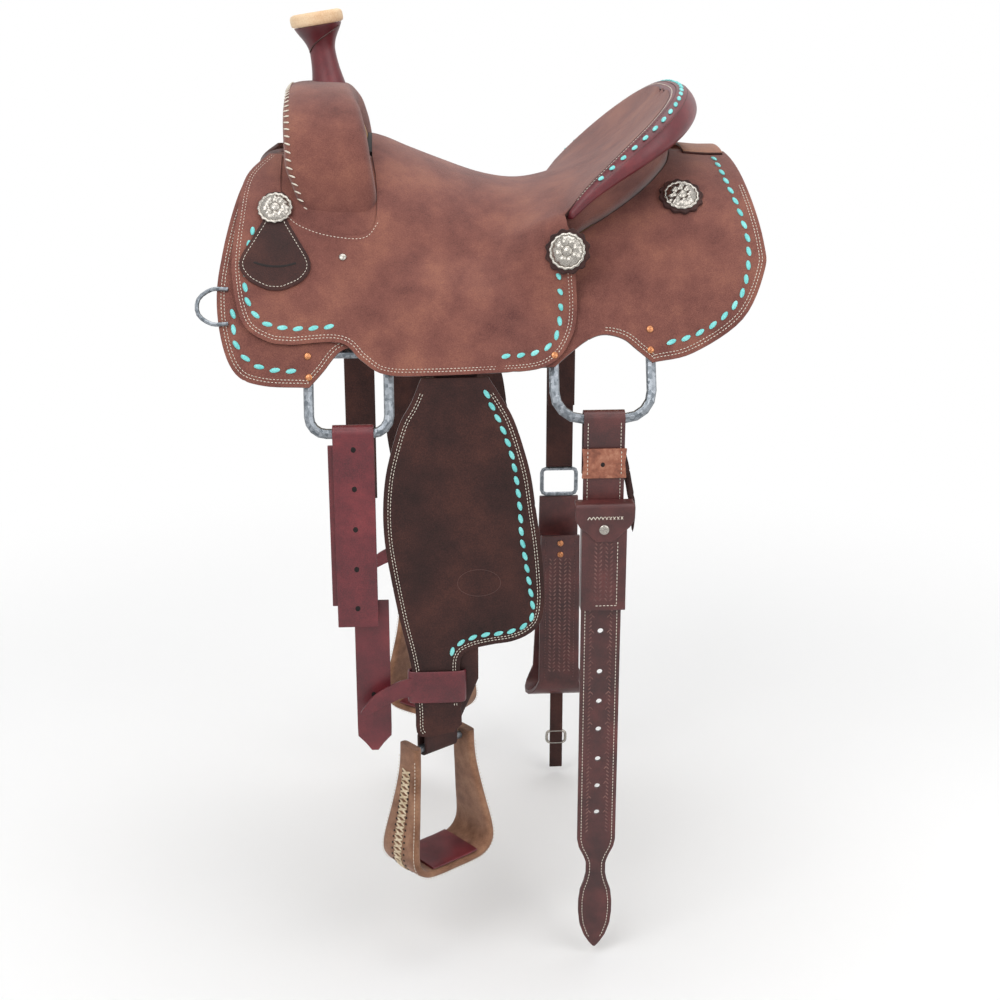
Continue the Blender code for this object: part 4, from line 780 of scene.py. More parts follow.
def turned(profile, place, steps=40):
    # A round piece, spun from its profile of radius and height
    bm = bmesh.new()
    line = [bm.verts.new((r, 0.0, h)) for r, h in profile]
    edges = [bm.edges.new(ends) for ends in zip(line, line[1:])]
    bmesh.ops.spin(bm, geom=line + edges, cent=(0, 0, 0), axis=(0, 0, 1), dvec=(0, 0, 0),
                   angle=2 * math.pi, steps=steps, use_merge=True)
    bmesh.ops.remove_doubles(bm, verts=bm.verts[:], dist=1e-5)
    bmesh.ops.recalc_face_normals(bm, faces=bm.faces[:])
    bmesh.ops.transform(bm, matrix=place, verts=bm.verts[:])
    return bm


def round_turn(count):
    # Even angles, once round a circle
    return [2 * math.pi * k / count for k in range(count)]


def rope_of(points, radius, sides=8):
    # A thin round welt along points
    rings = []
    for k, p in enumerate(points):
        a, b = around(points, k)
        along = (b - a).normalized()
        across = along.orthogonal() if k == 0 else across - along * across.dot(along)
        across = across.normalized()
        up = along.cross(across)
        rings.append([p + (across * math.cos(t) + up * math.sin(t)) * radius for t in round_turn(sides)])
    return lofted(rings)


HORN_X, HORN_LEAN = -0.192, math.radians(9)
horn = Matrix.Translation((HORN_X, 0.0, SWELL_TOP)) @ Matrix.Rotation(-HORN_LEAN, 4, "Y")
WRAP_PROFILE = [(0.0215, -0.009), (0.0195, 0.001), (0.0172, 0.014), (0.0160, 0.028), (0.0162, 0.038),
                (0.0195, 0.048), (0.0262, 0.0595), (0.0290, 0.0650), (0.0290, 0.0660)]
piece("horn_wrap_leather", turned(curve(WRAP_PROFILE, 4), horn), [burgundy], "saddle", ("horn_wrap",))
# The wrap's seam climbs slantwise round the horn's neck
radii = [p[::-1] for p in WRAP_PROFILE]
seam = []
for k in range(25):
    a, h = -2.75 + 2.35 * k / 24, 0.036 + 0.026 * k / 24
    r = read_off(radii, h) + 0.0002
    seam.append(horn @ Vector((r * math.cos(a), r * math.sin(a), h)))
piece("horn_wrap_seam", rope_of(seam, 0.0009), [cut_edge], "saddle", slot="burgundy")
CAP_PROFILE = [(0.0, 0.0664), (0.0290, 0.0664), (0.0318, 0.0680), (0.0325, 0.0710), (0.0325, 0.0770),
               (0.0312, 0.0802), (0.0270, 0.0818), (0.0240, 0.0812), (0.0, 0.0812)]
piece("horn_cap_leather", turned(CAP_PROFILE, horn), [skirting], "saddle", ("horn_cap",), edge=0.0004)

# Conchos, rosettes and rope strap keepers
# Three silver conchos a side, domed and engraved with petals, with scalloped rims. Two sit on scalloped
# leather rosettes, and the front one holds a bell-shaped keeper whose slot takes the rope strap.


def metal(name, dark, light, dents, detail, strength, depth, roughness, crystals=0.0):
    # Bare metal. Its tones run from dark to light, each given as a place on the pattern's scale and a colour.
    # It has a number of dents to the metre, and where the metal shows them, of crystals too.
    made, tree, shader = blank(name)
    where = add(tree, "TexCoord").outputs["Object"]
    marks = add(tree, "TexNoise", {"Vector": where, "Scale": dents, "Detail": detail}).outputs["Fac"]
    pattern = marks
    if crystals:
        pattern = add(tree, "TexVoronoi", {"Vector": where, "Scale": crystals}).outputs["Color"]
    tone = add(tree, "ValToRGB", {"Fac": pattern})
    for stop, (spot, colour) in zip(tone.color_ramp.elements, (dark, light)):
        stop.position, stop.color = spot, linear(colour)
    relief = add(tree, "Bump", {"Height": marks, "Strength": strength, "Distance": depth})
    tree.links.new(tone.outputs["Color"], shader.inputs["Base Color"])
    tree.links.new(relief.outputs["Normal"], shader.inputs["Normal"])
    shader.inputs["Metallic"].default_value = 1.0
    shader.inputs["Roughness"].default_value = roughness
    return made


# Silver plate, polished and then engraved: bright, with dark tarnish left in cuts drawn 0.7 mm wide
silver = metal("engraved_silver", (0.35, "#77726c"), (0.60, "#bdb8b0"), 1500.0, 4.0, 0.35, 0.0003, 0.27)
# Thick leather soaked in dark oil: near brown-black, a dull half gloss and a nap 1.4 mm wide
dark_leather = hide("dark_oiled_leather", "#20110f", "#361d1a", "#4b2a23", 1.4, 0.0004, 0.62, sheen=0.05)


def seated(x, w, lay, radius):
    # A frame for a round flat piece that rests on the leather's highest point under it
    step = 0.004
    along = (lay(x + step, w) - lay(x - step, w)).normalized()
    down = lay(x, w + step) - lay(x, w - step)
    out = along.cross(down).normalized()
    spot = Matrix((along, out.cross(along), out)).transposed().to_4x4()
    spot.translation = lay(x, w)
    back = spot.inverted()
    rise = max((back @ lay(x + r * math.cos(a), w + r * math.sin(a))).z
               for r in (radius / 2, radius) for a in round_turn(24))
    return spot @ Matrix.Translation((0.0, 0.0, rise + GAP))


def disc(place, profile, waves, depth, petals=0.0):
    # A round piece of radius and height steps, with a scalloped rim and raised petals
    rings, widest = [], profile[0][0]
    for r, h in profile:
        mark = math.sin(math.pi * min(max((r / widest - 0.25) / 0.5, 0.0), 1.0))
        ring = []
        for a in round_turn(96):
            out = r + depth * r / widest * math.cos(waves * a)
            high = h + petals * mark * abs(math.cos(waves / 4 * a))
            ring.append(place @ Vector((out * math.cos(a), out * math.sin(a), high)))
        rings.append(ring)
    return lofted(rings)


def silver_concho(place, r):
    # A concho from its back to its crown: a rim, a beaded step, petals and a boss
    profile = [(r, 0.0), (r, 0.0010), (r * 0.96, 0.0018), (r * 0.88, 0.0020), (r * 0.84, 0.0013),
               (r * 0.80, 0.0024), (r * 0.62, 0.0038), (r * 0.42, 0.0043), (r * 0.30, 0.0034),
               (r * 0.26, 0.0046), (r * 0.12, 0.0058), (r * 0.02, 0.0060)]
    return disc(place, profile, 16, 0.0006, petals=0.0018)


ROSETTE_THICK = 0.0030
for end, (x, w), r, lay in (("seat", (0.088, -0.190), 0.0215, seat_lay),
                            ("rear", (0.230, -0.130), 0.0215, skirt_lay)):
    leather_r = r + 0.0045
    place = seated(x, w, lay, leather_r if end == "rear" else r)
    profile = [(leather_r, 0.0), (leather_r, 0.0018), (leather_r - 0.0008, ROSETTE_THICK),
               (r * 0.9, ROSETTE_THICK), (0.002, ROSETTE_THICK)]
    pair("rosette_leather_" + end, disc(place, profile, 12, 0.0013), [dark_leather], "saddle",
         ("rosette_" + end,))
    pair("silver_concho_" + end, silver_concho(place @ Matrix.Translation((0, 0, ROSETTE_THICK)), r),
         [silver], "saddle", ("concho_" + end,))


def keeper_lay(a, b, h=0.0):
    # The keeper's face, 3 mm of leather and a gap above the jockey
    return seat_lay(a, b, h + 0.0033)


x, w, r = -0.252, -0.144, 0.0205
place = seated(x, w, keeper_lay, r)
pair("silver_concho_front", silver_concho(place, r), [silver], "saddle", ("concho_front",))
# Half of the bell's outline, from its top, as x from the concho's middle and distance down from it
KEEPER_HALF = [(0.0, -0.020), (0.012, -0.016), (0.013, 0.010), (0.024, 0.030), (0.041, 0.060),
               (0.033, 0.080), (0.012, 0.092), (0.0, 0.094)]
half_bell = curve(KEEPER_HALF, 4)
bell = joined([(x + a, -w + b) for a, b in half_bell], [(x - a, -w + b) for a, b in half_bell[::-1]])
pair("rope_keeper_leather", cut_hide(near(bell), keeper_lay, cell=FINE_CELL), [dark_leather, cut_edge],
     "saddle", ("rope_strap_keeper",), thick=0.003, edge=0.0008)
# The keeper's slot is a row of dark marks along its line: painted shade in the slit
SLOT = [(x - 0.024, 0.206), (x - 0.012, 0.2095), (x, 0.2105), (x + 0.012, 0.2095), (x + 0.024, 0.206)]
slit, white = bmesh.new(), bmesh.new()
stitch_row(slit, near(curve(SLOT)), keeper_lay, 0.0022, 0.0044, 0.0034, 0.0008, lift=0.0)
stitch_row(white, near(beside(bell[2:-2], 0.0042)), keeper_lay, width=0.0009, height=0.0009, lift=0.0002)
pair("rope_keeper_slot_shade", slit, [near_black_and_hole_shade], "saddle", slot="dark_roughout")
pair("rope_keeper_stitching", white, [white_thread], "saddle", slot="dark_roughout")

# Rings, dees, rivets and screws
# The rigging rings and breast dees are bent from steel rod, welded and hot-dip galvanised. Copper rivets
# hold the rigging in the skirts' corners, and a small silver screw stands beside the swell.

# Galvanised steel: dull zinc grey, with crystals 4 mm wide, shallow dents 3 mm wide and a soft, uneven gloss
zinc = metal("galvanised_steel", (0.20, "#666c72"), (0.85, "#979ca2"), 300.0, 2.0, 0.3, 0.0004, 0.42,
             crystals=260.0)
for end in ("near", "off"):
    dress(zinc, "front_ring_" + end, "rear_ring_" + end, "breast_dee_" + end, "stirrup_bolt_" + end)
dress(zinc, "flank_buckle")
# Copper, hammered over a burr in blows 1.4 mm wide and worn bright on its crown
copper = metal("hammered_copper", (0.30, "#8d5233"), (0.70, "#d79a70"), 700.0, 2.0, 0.5, 0.0003, 0.35)


def stud(bm, x, w, lay, size, height, lift=0.0003):
    # One round head on leather: size across and height thick
    sewn(bm, stations([(x - 0.001, w), (x + 0.001, w)], 0.01, lay, lift), (size, size, height), rounds=3)


rivets = bmesh.new()
for x, w, lay in ((-0.216, -0.312, skirt_lay), (-0.215, -0.337, skirt_lay), (0.183, -0.285, skirt_lay),
                  (0.183, -0.310, skirt_lay), (0.070, -0.309, seat_lay)):
    stud(rivets, x, w, lay, 0.0085, 0.0034)
pair("copper_rivets", rivets, [copper], "saddle", slot="galvanised")
screw = bmesh.new()
stud(screw, -0.174, -0.193, seat_lay, 0.0095, 0.0040, lift=0.0004)
pair("silver_screw", screw, [silver], "saddle", slot="silver")

# Fenders, stirrup leathers and hobble straps
# The fender is dark oiled roughout, 4 mm thick, hung from the stirrup strap and sewn to the leather behind
# it. A burgundy hobble strap holds its tongue and the leather together above the stirrup.
FENDER_FACE = 0.2525
FENDER_REAR = [(-0.008, -0.1395), (0.010, -0.169), (0.022, -0.192), (0.033, -0.225), (0.042, -0.260),
               (0.048, -0.301), (0.054, -0.343), (0.058, -0.386), (0.059, -0.420), (0.054, -0.446),
               (0.040, -0.461), (0.020, -0.470), (-0.006, -0.474), (-0.030, -0.480), (-0.043, -0.492),
               (-0.043, -0.530), (-0.042, -0.580)]
FENDER_FRONT = [(-0.052, -0.590), (-0.094, -0.595), (-0.099, -0.560), (-0.101, -0.520), (-0.106, -0.486),
                (-0.116, -0.439), (-0.126, -0.382), (-0.132, -0.338), (-0.133, -0.297), (-0.129, -0.256),
                (-0.119, -0.216), (-0.110, -0.190), (-0.098, -0.169), (-0.086, -0.1395)]


def fender_lay(x, z, h=0.0):
    # The fender hangs flat, at its own distance from the saddle's middle. Its lower half bows out a little
    # along both edges.
    bow = 0.0022 * ease((-z - 0.17) / 0.12) * (1 - ease((-z - 0.44) / 0.06)) * ((x + 0.036) / 0.09) ** 2
    return Vector((x, -(FENDER_FACE + bow + h), z))


fender_loop = joined(curve(FENDER_REAR, 4), curve(FENDER_FRONT, 4))
legs = ("fender_near", "fender_off")
pair("fender_leather", cut_hide(fender_loop, fender_lay), [dark_leather, cut_edge], legs, ("fender",),
     thick=0.004, edge=0.0008)
white, blue, ring_mark = bmesh.new(), bmesh.new(), bmesh.new()
for line in (curve(FENDER_REAR, 4)[2:-2], curve(FENDER_FRONT, 4)[4:-2]):
    for inset in (0.0055, 0.0085):
        stitch_row(white, beside(line, -inset), fender_lay)
FENDER_LACING = [(-0.013, -0.152), (-0.005, -0.172), (0.002, -0.187), (0.009, -0.203), (0.019, -0.233),
                 (0.025, -0.266), (0.029, -0.300), (0.031, -0.333), (0.036, -0.365), (0.041, -0.397),
                 (0.045, -0.426), (0.043, -0.440), (0.034, -0.450), (0.021, -0.456), (0.005, -0.459),
                 (-0.009, -0.460), (-0.025, -0.463), (-0.038, -0.468), (-0.050, -0.476), (-0.056, -0.489)]
lace_row(blue, curve(FENDER_LACING), fender_lay, pitch=0.0158, length=0.0120, width=0.0056)
# An empty oval is pressed into the fender's lower half
OVAL_X, OVAL_Z, OVAL_HALF_WIDTH, OVAL_HALF_HEIGHT = -0.020, -0.393, 0.026, 0.017
oval = [(OVAL_X + OVAL_HALF_WIDTH * math.cos(a), OVAL_Z + OVAL_HALF_HEIGHT * math.sin(a))
        for a in round_turn(48) + [2 * math.pi]]
stitch_row(ring_mark, oval, fender_lay, 0.0016, 0.0022, 0.0010, 0.0006, lift=-0.0001)
pair("fender_stitching", white, [white_thread], legs, slot="dark_roughout")
pair("fender_lacing", blue, [turquoise_lace], legs, slot="dark_roughout")
pair("fender_pressed_oval", ring_mark, [cut_edge], legs, slot="dark_roughout")


def skinned(name):
    # A merged copy of a strap's own form, to be finished as leather
    bm = bmesh.new()
    bm.from_mesh(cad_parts[name].data)
    bmesh.ops.remove_doubles(bm, verts=bm.verts[:], dist=1e-5)
    bmesh.ops.dissolve_limit(bm, angle_limit=math.radians(1), verts=bm.verts[:], edges=bm.edges[:])
    return bm


def squared(value, power):
    # A cosine or a sine drawn towards the corner of a square
    return math.copysign(abs(value) ** power, value)


for end in ("near", "off"):
    piece("leather_loop_" + end, skinned("stirrup_leather_" + end), [dark_leather], "fender_" + end,
          ("stirrup_leather_" + end,), edge=0.0006)
bm = cut_hide(oblong(-0.071, -0.176, -0.021, -0.3415), lambda x, w: skirt_lay(x, w, 0.0043))
pair("upper_stirrup_strap", bm, [dark_leather], "saddle", ("stirrup_strap",), thick=0.004)
HOBBLE_X, HOBBLE_Y, HOBBLE_Z, HOBBLE_HIGH = -0.072, -0.2465, -0.528, 0.042
# Up the band, from its lower edge at -1: how far it bellies out
rings = []
for h, swell in ((-1.0, 0.0), (-0.9, 0.0008), (0.0, 0.0012), (0.9, 0.0008), (1.0, 0.0)):
    rings.append([Vector((HOBBLE_X + squared(math.cos(a), 0.5) * (0.0350 + swell),
                          HOBBLE_Y - squared(math.sin(a), 0.6) * (0.0085 + swell),
                          HOBBLE_Z + h * HOBBLE_HIGH / 2)) for a in round_turn(48)])
pair("hobble_band", lofted(rings, capped=False), [burgundy], legs, ("hobble_strap",), thick=0.0025,
     edge=0.0005)
# The strap's end sticks out behind the band's front edge and away from the fender
HOBBLE_TAIL = [(-0.100, -0.515), (-0.122, -0.520), (-0.148, -0.534), (-0.160, -0.548), (-0.166, -0.558),
               (-0.156, -0.560), (-0.140, -0.552), (-0.118, -0.542), (-0.100, -0.540)]
bm = cut_hide(curve(HOBBLE_TAIL, 4), lambda x, z: Vector((x, -0.2545 - 0.10 * max(-0.104 - x, 0.0), z)),
              cell=FINE_CELL)
pair("hobble_tail", bm, [burgundy], legs, slot="burgundy", thick=0.0025, edge=0.0005)

# Stirrups
# Bent wooden stirrups covered in tan suede, sewn up at the inside, with a burgundy leather tread. Rawhide
# whip lacing crosses the front branch.
STIRRUP_TOP, STIRRUP_TURN = (-0.072, -0.226, -0.617), math.radians(37)
STIRRUP = Matrix.Translation(STIRRUP_TOP) @ Matrix.Rotation(STIRRUP_TURN, 4, "Z")
# Half of the stirrup's outline seen from its front, from the bolt down to the middle of the tread
STIRRUP_SIDE = [(0.048, 0.010), (0.050, -0.030), (0.0575, -0.080), (0.0655, -0.128), (0.0610, -0.150),
                (0.046, -0.162), (0.024, -0.165), (0.0, -0.165)]
half = curve(STIRRUP_SIDE, 5)
stirrup_path = half + [(-x, z) for x, z in half[::-1][1:]]


def branch(k, share, out, thick=0.011):
    # A point of the stirrup: k along it, share across its depth, out from its outer face inwards
    x, z = stirrup_path[k]
    along = heading(stirrup_path, k)
    depth = 0.034 + 0.040 * ease(-z / 0.165)
    return STIRRUP @ Vector((x + along.y * out * thick, share * depth / 2, z - along.x * out * thick))


def band(first, last, outer, thick, narrow=1.0):
    # A cover round a stretch of the stirrup: its section is an oblong with round corners
    return lofted([[branch(k, narrow * squared(math.cos(a), 0.35),
                           outer + thick * (0.5 - 0.5 * squared(math.sin(a), 0.55)))
                    for a in round_turn(20)] for k in range(first, last)])


def branch_row(bm, steps, share, out, pitch, size, tilt=0.0, rounds=1):
    # Stitches along the stirrup, on its outer face
    line = [branch(k, share, out) for k in steps]
    outs = [(branch(k, share, -0.3) - branch(k, share, 0.3)).normalized() for k in steps]
    sewn(bm, spaced(line, outs, pitch, tilt), size, rounds)


# Tan suede: a fine short nap that scuffs dark along the bends
suede = hide("tan_suede", "#624230", "#855f49", "#a0795f", 1.0, 0.0004, 0.92, patch=22.0, sheen=0.2)
# Raw hide thong, dried hard: cream, half gloss
thong = hide("rawhide_thong", "#a58f6b", "#c9b597", "#e2d3b9", 1.4, 0.0002, 0.5, patch=12.0)
feet = ("stirrup_near", "stirrup_off")
pair("stirrup_suede", band(0, len(stirrup_path), 0.0, 1.0), [suede], feet, ("stirrup",))
middle = len(stirrup_path) // 2
pair("tread_leather", band(middle - 8, middle + 9, 1.0, 0.30, narrow=0.92), [burgundy], feet,
     ("stirrup_tread",))
lacing, holes, seam = bmesh.new(), bmesh.new(), bmesh.new()
front_branch = range(middle + 11, len(stirrup_path) - 4)
WHIP_PITCH, WHIP_SLANT = 0.0078, 1.18
# Dark marks at each side of the lacing are painted shade in the holes it passes through
for share in (-0.34, 0.34):
    branch_row(holes, front_branch, share, -0.05, WHIP_PITCH, (0.0034, 0.0034, 0.0012))
for tilt in (WHIP_SLANT, -WHIP_SLANT):
    branch_row(lacing, front_branch, 0.0, -0.08, WHIP_PITCH, (0.0185, 0.0036, 0.0022), tilt, rounds=2)
for share in (-0.93, 0.93):
    branch_row(seam, range(2, len(stirrup_path) - 2), share, -0.02, 0.0045, (0.0036, 0.0010, 0.0010))
pair("whip_lacing", lacing, [thong], feet, slot="suede")
pair("whip_lacing_hole_shade", holes, [near_black_and_hole_shade], feet, slot="suede")
pair("stirrup_seam", seam, [white_thread], feet, slot="suede")

# Near latigo
# A 50 mm latigo of burgundy harness leather. It is folded over the front ring into layers, punched with
# holes, and its pointed tail hangs behind.

# A strap's own thickness, and how far its middle runs from the middle of the ring's rod
STRAP, RING_REACH = 0.004, 0.0083
# The middle of the ring's rod at its lowest point, as distance out and height
FRONT_ROD, REAR_ROD = (0.248817, -0.204986), (0.246176, -0.192464)


def strap(route, width, x, thick=STRAP):
    # A near strap along a route of y and z; its width and its middle may change with the route's height
    rings = []
    for k, (y, z) in enumerate(route):
        a, b = around(route, k)
        along = Vector((0.0, b[0] - a[0], b[1] - a[1])).normalized()
        face = Vector((1.0, 0.0, 0.0)).cross(along) * thick / 2
        broad = width(z) if callable(width) else width
        middle = Vector((x(z) if callable(x) else x, y, z))
        half = Vector((broad / 2, 0.0, 0.0))
        rings.append([middle - half - face, middle + half - face, middle + half + face,
                      middle - half + face])
    bm = lofted([[Vector((p.x, -p.y, p.z)) for p in ring] for ring in rings])
    bmesh.ops.recalc_face_normals(bm, faces=bm.faces[:])
    return bm


def over_ring(rod, outer_z, inner_z):
    # From the outer end up, over the ring's rod and down behind it
    y, z = rod
    arc = [(y + RING_REACH * math.cos(a), z + RING_REACH * math.sin(a))
           for a in (math.pi * k / 12 for k in range(13))]
    up = [(y + RING_REACH, outer_z + (z - outer_z) * k / 24) for k in range(24)]
    return up + arc + [(y - RING_REACH, z + (inner_z - z) * k / 16) for k in range(1, 17)]


def punched(line, y, size=0.0062):
    # Punched holes on a near strap's face, drawn as dark marks: painted shade where each hole goes through
    bm = bmesh.new()
    for x, z in line:
        spot = Matrix(((1, 0, 0, x), (0, 0, -1, -y), (0, 1, 0, z), (0, 0, 0, 1)))
        sewn(bm, [spot], (size, size * 1.15, 0.0008), rounds=2)
    return bm


LATIGO_X, LATIGO_TAIL_X, LATIGO_TAIL_Z = -0.166, -0.150, -0.617
latigo_face = FRONT_ROD[0] + RING_REACH + STRAP / 2
bm = strap(over_ring(FRONT_ROD, -0.444, -0.440), 0.048, LATIGO_X)
piece("latigo_strap", bm, [burgundy], "latigo_near", ("latigo_near",), edge=0.0007)
# A second layer lies behind the first
second = [(latigo_face - STRAP - 0.0022, -0.418 + 0.20 * k / 12) for k in range(13)]
bm = strap(second, 0.046, -0.173, thick=0.0035)
piece("latigo_second_layer", bm, [burgundy], "latigo_near", slot="burgundy", edge=0.0006)
# The tail hangs below both and is cut to a point
tail = [(0.2403, LATIGO_TAIL_Z + 0.200 * k / 20) for k in range(21)]
bm = strap(tail, lambda z: 0.008 + 0.034 * ease((z - LATIGO_TAIL_Z) / 0.022), LATIGO_TAIL_X, thick=0.0036)
piece("latigo_tail", bm, [burgundy], "latigo_near", slot="burgundy", edge=0.0006)
# The latigo's holes and its tail's hole are dark marks: painted shade in place of holes
bm = punched([(LATIGO_X, z) for z in (-0.222, -0.270, -0.320, -0.370, -0.420)], latigo_face)
piece("latigo_hole_shade", bm, [near_black_and_hole_shade], "latigo_near", slot="dark_trim")
bm = punched([(LATIGO_TAIL_X, -0.541)], 0.2422)
piece("latigo_tail_hole_shade", bm, [near_black_and_hole_shade], "latigo_near", slot="dark_trim")

# Near rear billet, keeper and pouch
# The billet is one long strap of oxblood harness leather over the rear ring. It is stitched in white,
# stamped with scallops, punched with seven holes and waisted at its tip. A carved keeper binds it
# under the ring, and a small pouch with a snapped flap is carried on it.

BILLET_X = 0.128
# Half the billet's width, from its tip upwards
BILLET_HALF = [(-0.902, 0.0012), (-0.897, 0.0060), (-0.884, 0.0140), (-0.868, 0.0195), (-0.850, 0.0215),
               (-0.834, 0.0215), (-0.818, 0.0195), (-0.805, 0.0150), (-0.793, 0.0125), (-0.778, 0.0125),
               (-0.768, 0.0160), (-0.756, 0.0220), (-0.745, 0.0243), (-0.150, 0.0243)]


def billet_width(z):
    # How wide the billet is at a height
    return 2 * read_off(BILLET_HALF, z)


def drilled(bm, spots, radius):
    # Punches round holes right through a strap that hangs facing along Y
    body_mesh, cutter_mesh = bpy.data.meshes.new("strap"), bpy.data.meshes.new("punch")
    bm.to_mesh(body_mesh)
    bm.free()
    tool = bmesh.new()
    for x, y, z in spots:
        bmesh.ops.create_cone(tool, cap_ends=True, segments=20, radius1=radius, radius2=radius, depth=0.012,
                              matrix=Matrix.Translation((x, y, z)) @ Matrix.Rotation(math.pi / 2, 4, "X"))
    tool.to_mesh(cutter_mesh)
    tool.free()
    body, cutter = bpy.data.objects.new("strap", body_mesh), bpy.data.objects.new("punch", cutter_mesh)
    for thing in (body, cutter):
        bpy.context.collection.objects.link(thing)
    cut = body.modifiers.new("holes", "BOOLEAN")
    cut.object, cut.operation, cut.solver = cutter, "DIFFERENCE", "EXACT"
    bpy.context.view_layer.update()
    done = bmesh.new()
    done.from_mesh(body.evaluated_get(bpy.context.evaluated_depsgraph_get()).to_mesh())
    for thing in (body, cutter):
        bpy.data.objects.remove(thing)
    return done


billet_face = REAR_ROD[0] + RING_REACH + STRAP / 2
# The tip takes short steps, so that its outline is smooth
tip = [(REAR_ROD[0] + RING_REACH, -0.902 + 0.0035 * k) for k in range(48)]
route = tip + over_ring(REAR_ROD, -0.730, -0.262)
BILLET_HOLES = [(BILLET_X, -(billet_face - STRAP / 2), z)
                for z in (-0.458, -0.512, -0.552, -0.590, -0.631, -0.669, -0.706)]
# Oxblood harness leather, darker and browner than the latigo
harness = hide("oxblood_harness_leather", "#2a1213", "#482120", "#632f2d", 1.1, 0.0002, 0.42, patch=40.0,
               coat=0.1)
bm = drilled(strap(route, billet_width, BILLET_X), BILLET_HOLES, 0.0036)
piece("billet_strap", bm, [harness], "rear_billet_near", ("rear_billet_near",), edge=0.0006)


def billet_lay(x, z, h=0.0):
    # A point on the billet's face, or h out from it
    return Vector((x, -(billet_face + h), z))


STAMPED_LOW, STAMPED_HIGH = -0.735, -0.428
white, stamp = bmesh.new(), bmesh.new()
for sign in (-1, 1):
    line = [(BILLET_X + sign * (billet_width(z) / 2 - 0.0048), z)
            for z in (-0.888 + 0.0045 * k for k in range(155))]
    stitch_row(white, line, billet_lay, width=0.0011, lift=0.0002)
    column = [(BILLET_X + sign * 0.0125, z) for z in (STAMPED_LOW, STAMPED_HIGH)]
    sewn(stamp, stations(column, 0.0052, billet_lay, -0.0001, tilt=0.75 * sign), (0.0058, 0.0018, 0.0012))
    column = [(BILLET_X + sign * 0.0095, z) for z in (STAMPED_LOW + 0.02, STAMPED_HIGH)]
    sewn(stamp, stations(column, 0.0200, billet_lay, -0.0001, tilt=-0.75 * sign), (0.0062, 0.0018, 0.0012))
piece("billet_stitching", white, [white_thread], "rear_billet_near", slot="burgundy")
# Where the stamps bit, the finish is rubbed to a paler brown
stamped = hide("stamped_leather", "#3c1b1d", "#6d4742", "#8f6b62", 1.2, 0.0002, 0.5)
piece("billet_stamping", stamp, [stamped], "rear_billet_near", slot="burgundy")
# Russet leather carved deep and rubbed with antique paste: coarse relief, half gloss, paler on its high spots
carved = hide("carved_keeper", "#6e3c2b", "#925741", "#b07a60", 5.0, 0.0008, 0.5, patch=14.0)
piece("billet_keeper_leather", skinned("billet_keeper"), [carved], "rear_billet_near", ("billet_keeper",),
      edge=0.0008)
keeper_face = 0.2608
white = bmesh.new()
for x in (BILLET_X - 0.020, BILLET_X + 0.020):
    stitch_row(white, [(x, -0.258), (x, -0.228)], lambda a, b, h=0.0: Vector((a, -(keeper_face + h), b)),
               pitch=0.0044, length=0.0036, width=0.0011, lift=0.0002)
piece("billet_keeper_stitching", white, [white_thread], "rear_billet_near", slot="suede")
# The keeper's hole is a dark mark: painted shade in place of a hole
piece("billet_keeper_hole_shade", punched([(0.126, -0.245)], keeper_face, size=0.0052), [near_black_and_hole_shade],
      "rear_billet_near", slot="dark_trim")
piece("pouch_leather", skinned("pouch_body"), [harness], "rear_billet_near", ("pouch_body",), edge=0.0012)
pouch_face = 0.2748
white, stamp = bmesh.new(), bmesh.new()


def pouch_lay(x, z, h=0.0):
    # A point on the pouch's face, or h out from it
    return Vector((x, -(pouch_face + h), z))


stitch_row(white, [(0.144, -0.336), (0.144, -0.4175), (0.118, -0.4175)], pouch_lay, pitch=0.0044,
           length=0.0036, width=0.0011, lift=0.0002)
for x, tilt in ((0.118, 0.7), (0.124, -0.7), (0.131, 0.7), (0.137, -0.7)):
    sewn(stamp, stations([(x, -0.4125), (x, -0.336)], 0.0052, pouch_lay, -0.0001, tilt=tilt),
         (0.0060, 0.0022, 0.0012))
piece("pouch_stitching", white, [white_thread], "rear_billet_near", slot="burgundy")
piece("pouch_stamping", stamp, [stamped], "rear_billet_near", slot="burgundy")
flap = skinned("pouch_flap")
flap_face = BVHTree.FromBMesh(flap)
piece("pouch_flap_leather", flap, [harness], "pouch_flap", ("pouch_flap",), edge=0.0010)
zigzag, snap = bmesh.new(), bmesh.new()


def flap_lay(x, z, h=0.0):
    # The flap's bowed face, found from in front
    spot, normal = flap_face.ray_cast(Vector((x, -0.4, z)), Vector((0.0, 1.0, 0.0)))[:2]
    return spot + normal * h


for tilt, start in ((0.95, 0.022), (-0.95, 0.0198)):
    line = [(BILLET_X - start, -0.3055), (BILLET_X + 0.022, -0.3055)]
    sewn(zigzag, stations(line, 0.0044, flap_lay, 0.0003, tilt=tilt), (0.0058, 0.0010, 0.0010))
snap_line = [(BILLET_X - 0.003, -0.320), (BILLET_X + 0.001, -0.320)]
sewn(snap, stations(snap_line, 0.01, flap_lay, 0.0003), (0.0125, 0.0125, 0.0036), rounds=3)
piece("pouch_zigzag", zigzag, [white_thread], "pouch_flap", slot="burgundy")
piece("pouch_snap", snap, [silver], "pouch_flap", slot="silver")
# A thin pointed lace hangs doubled behind the billet
LACE = [(0.148, -0.228), (0.156, -0.238), (0.163, -0.270), (0.169, -0.305), (0.1665, -0.336),
        (0.162, -0.312), (0.156, -0.275), (0.148, -0.250)]
bm = cut_hide(curve(LACE, 3), lambda x, z: Vector((x, -0.2462 + 0.05 * max(-0.25 - z, 0.0), z)),
              cell=FINE_CELL)
piece("pointed_lace", bm, [dark_leather], "rear_billet_near", slot="dark_trim", thick=0.0018)

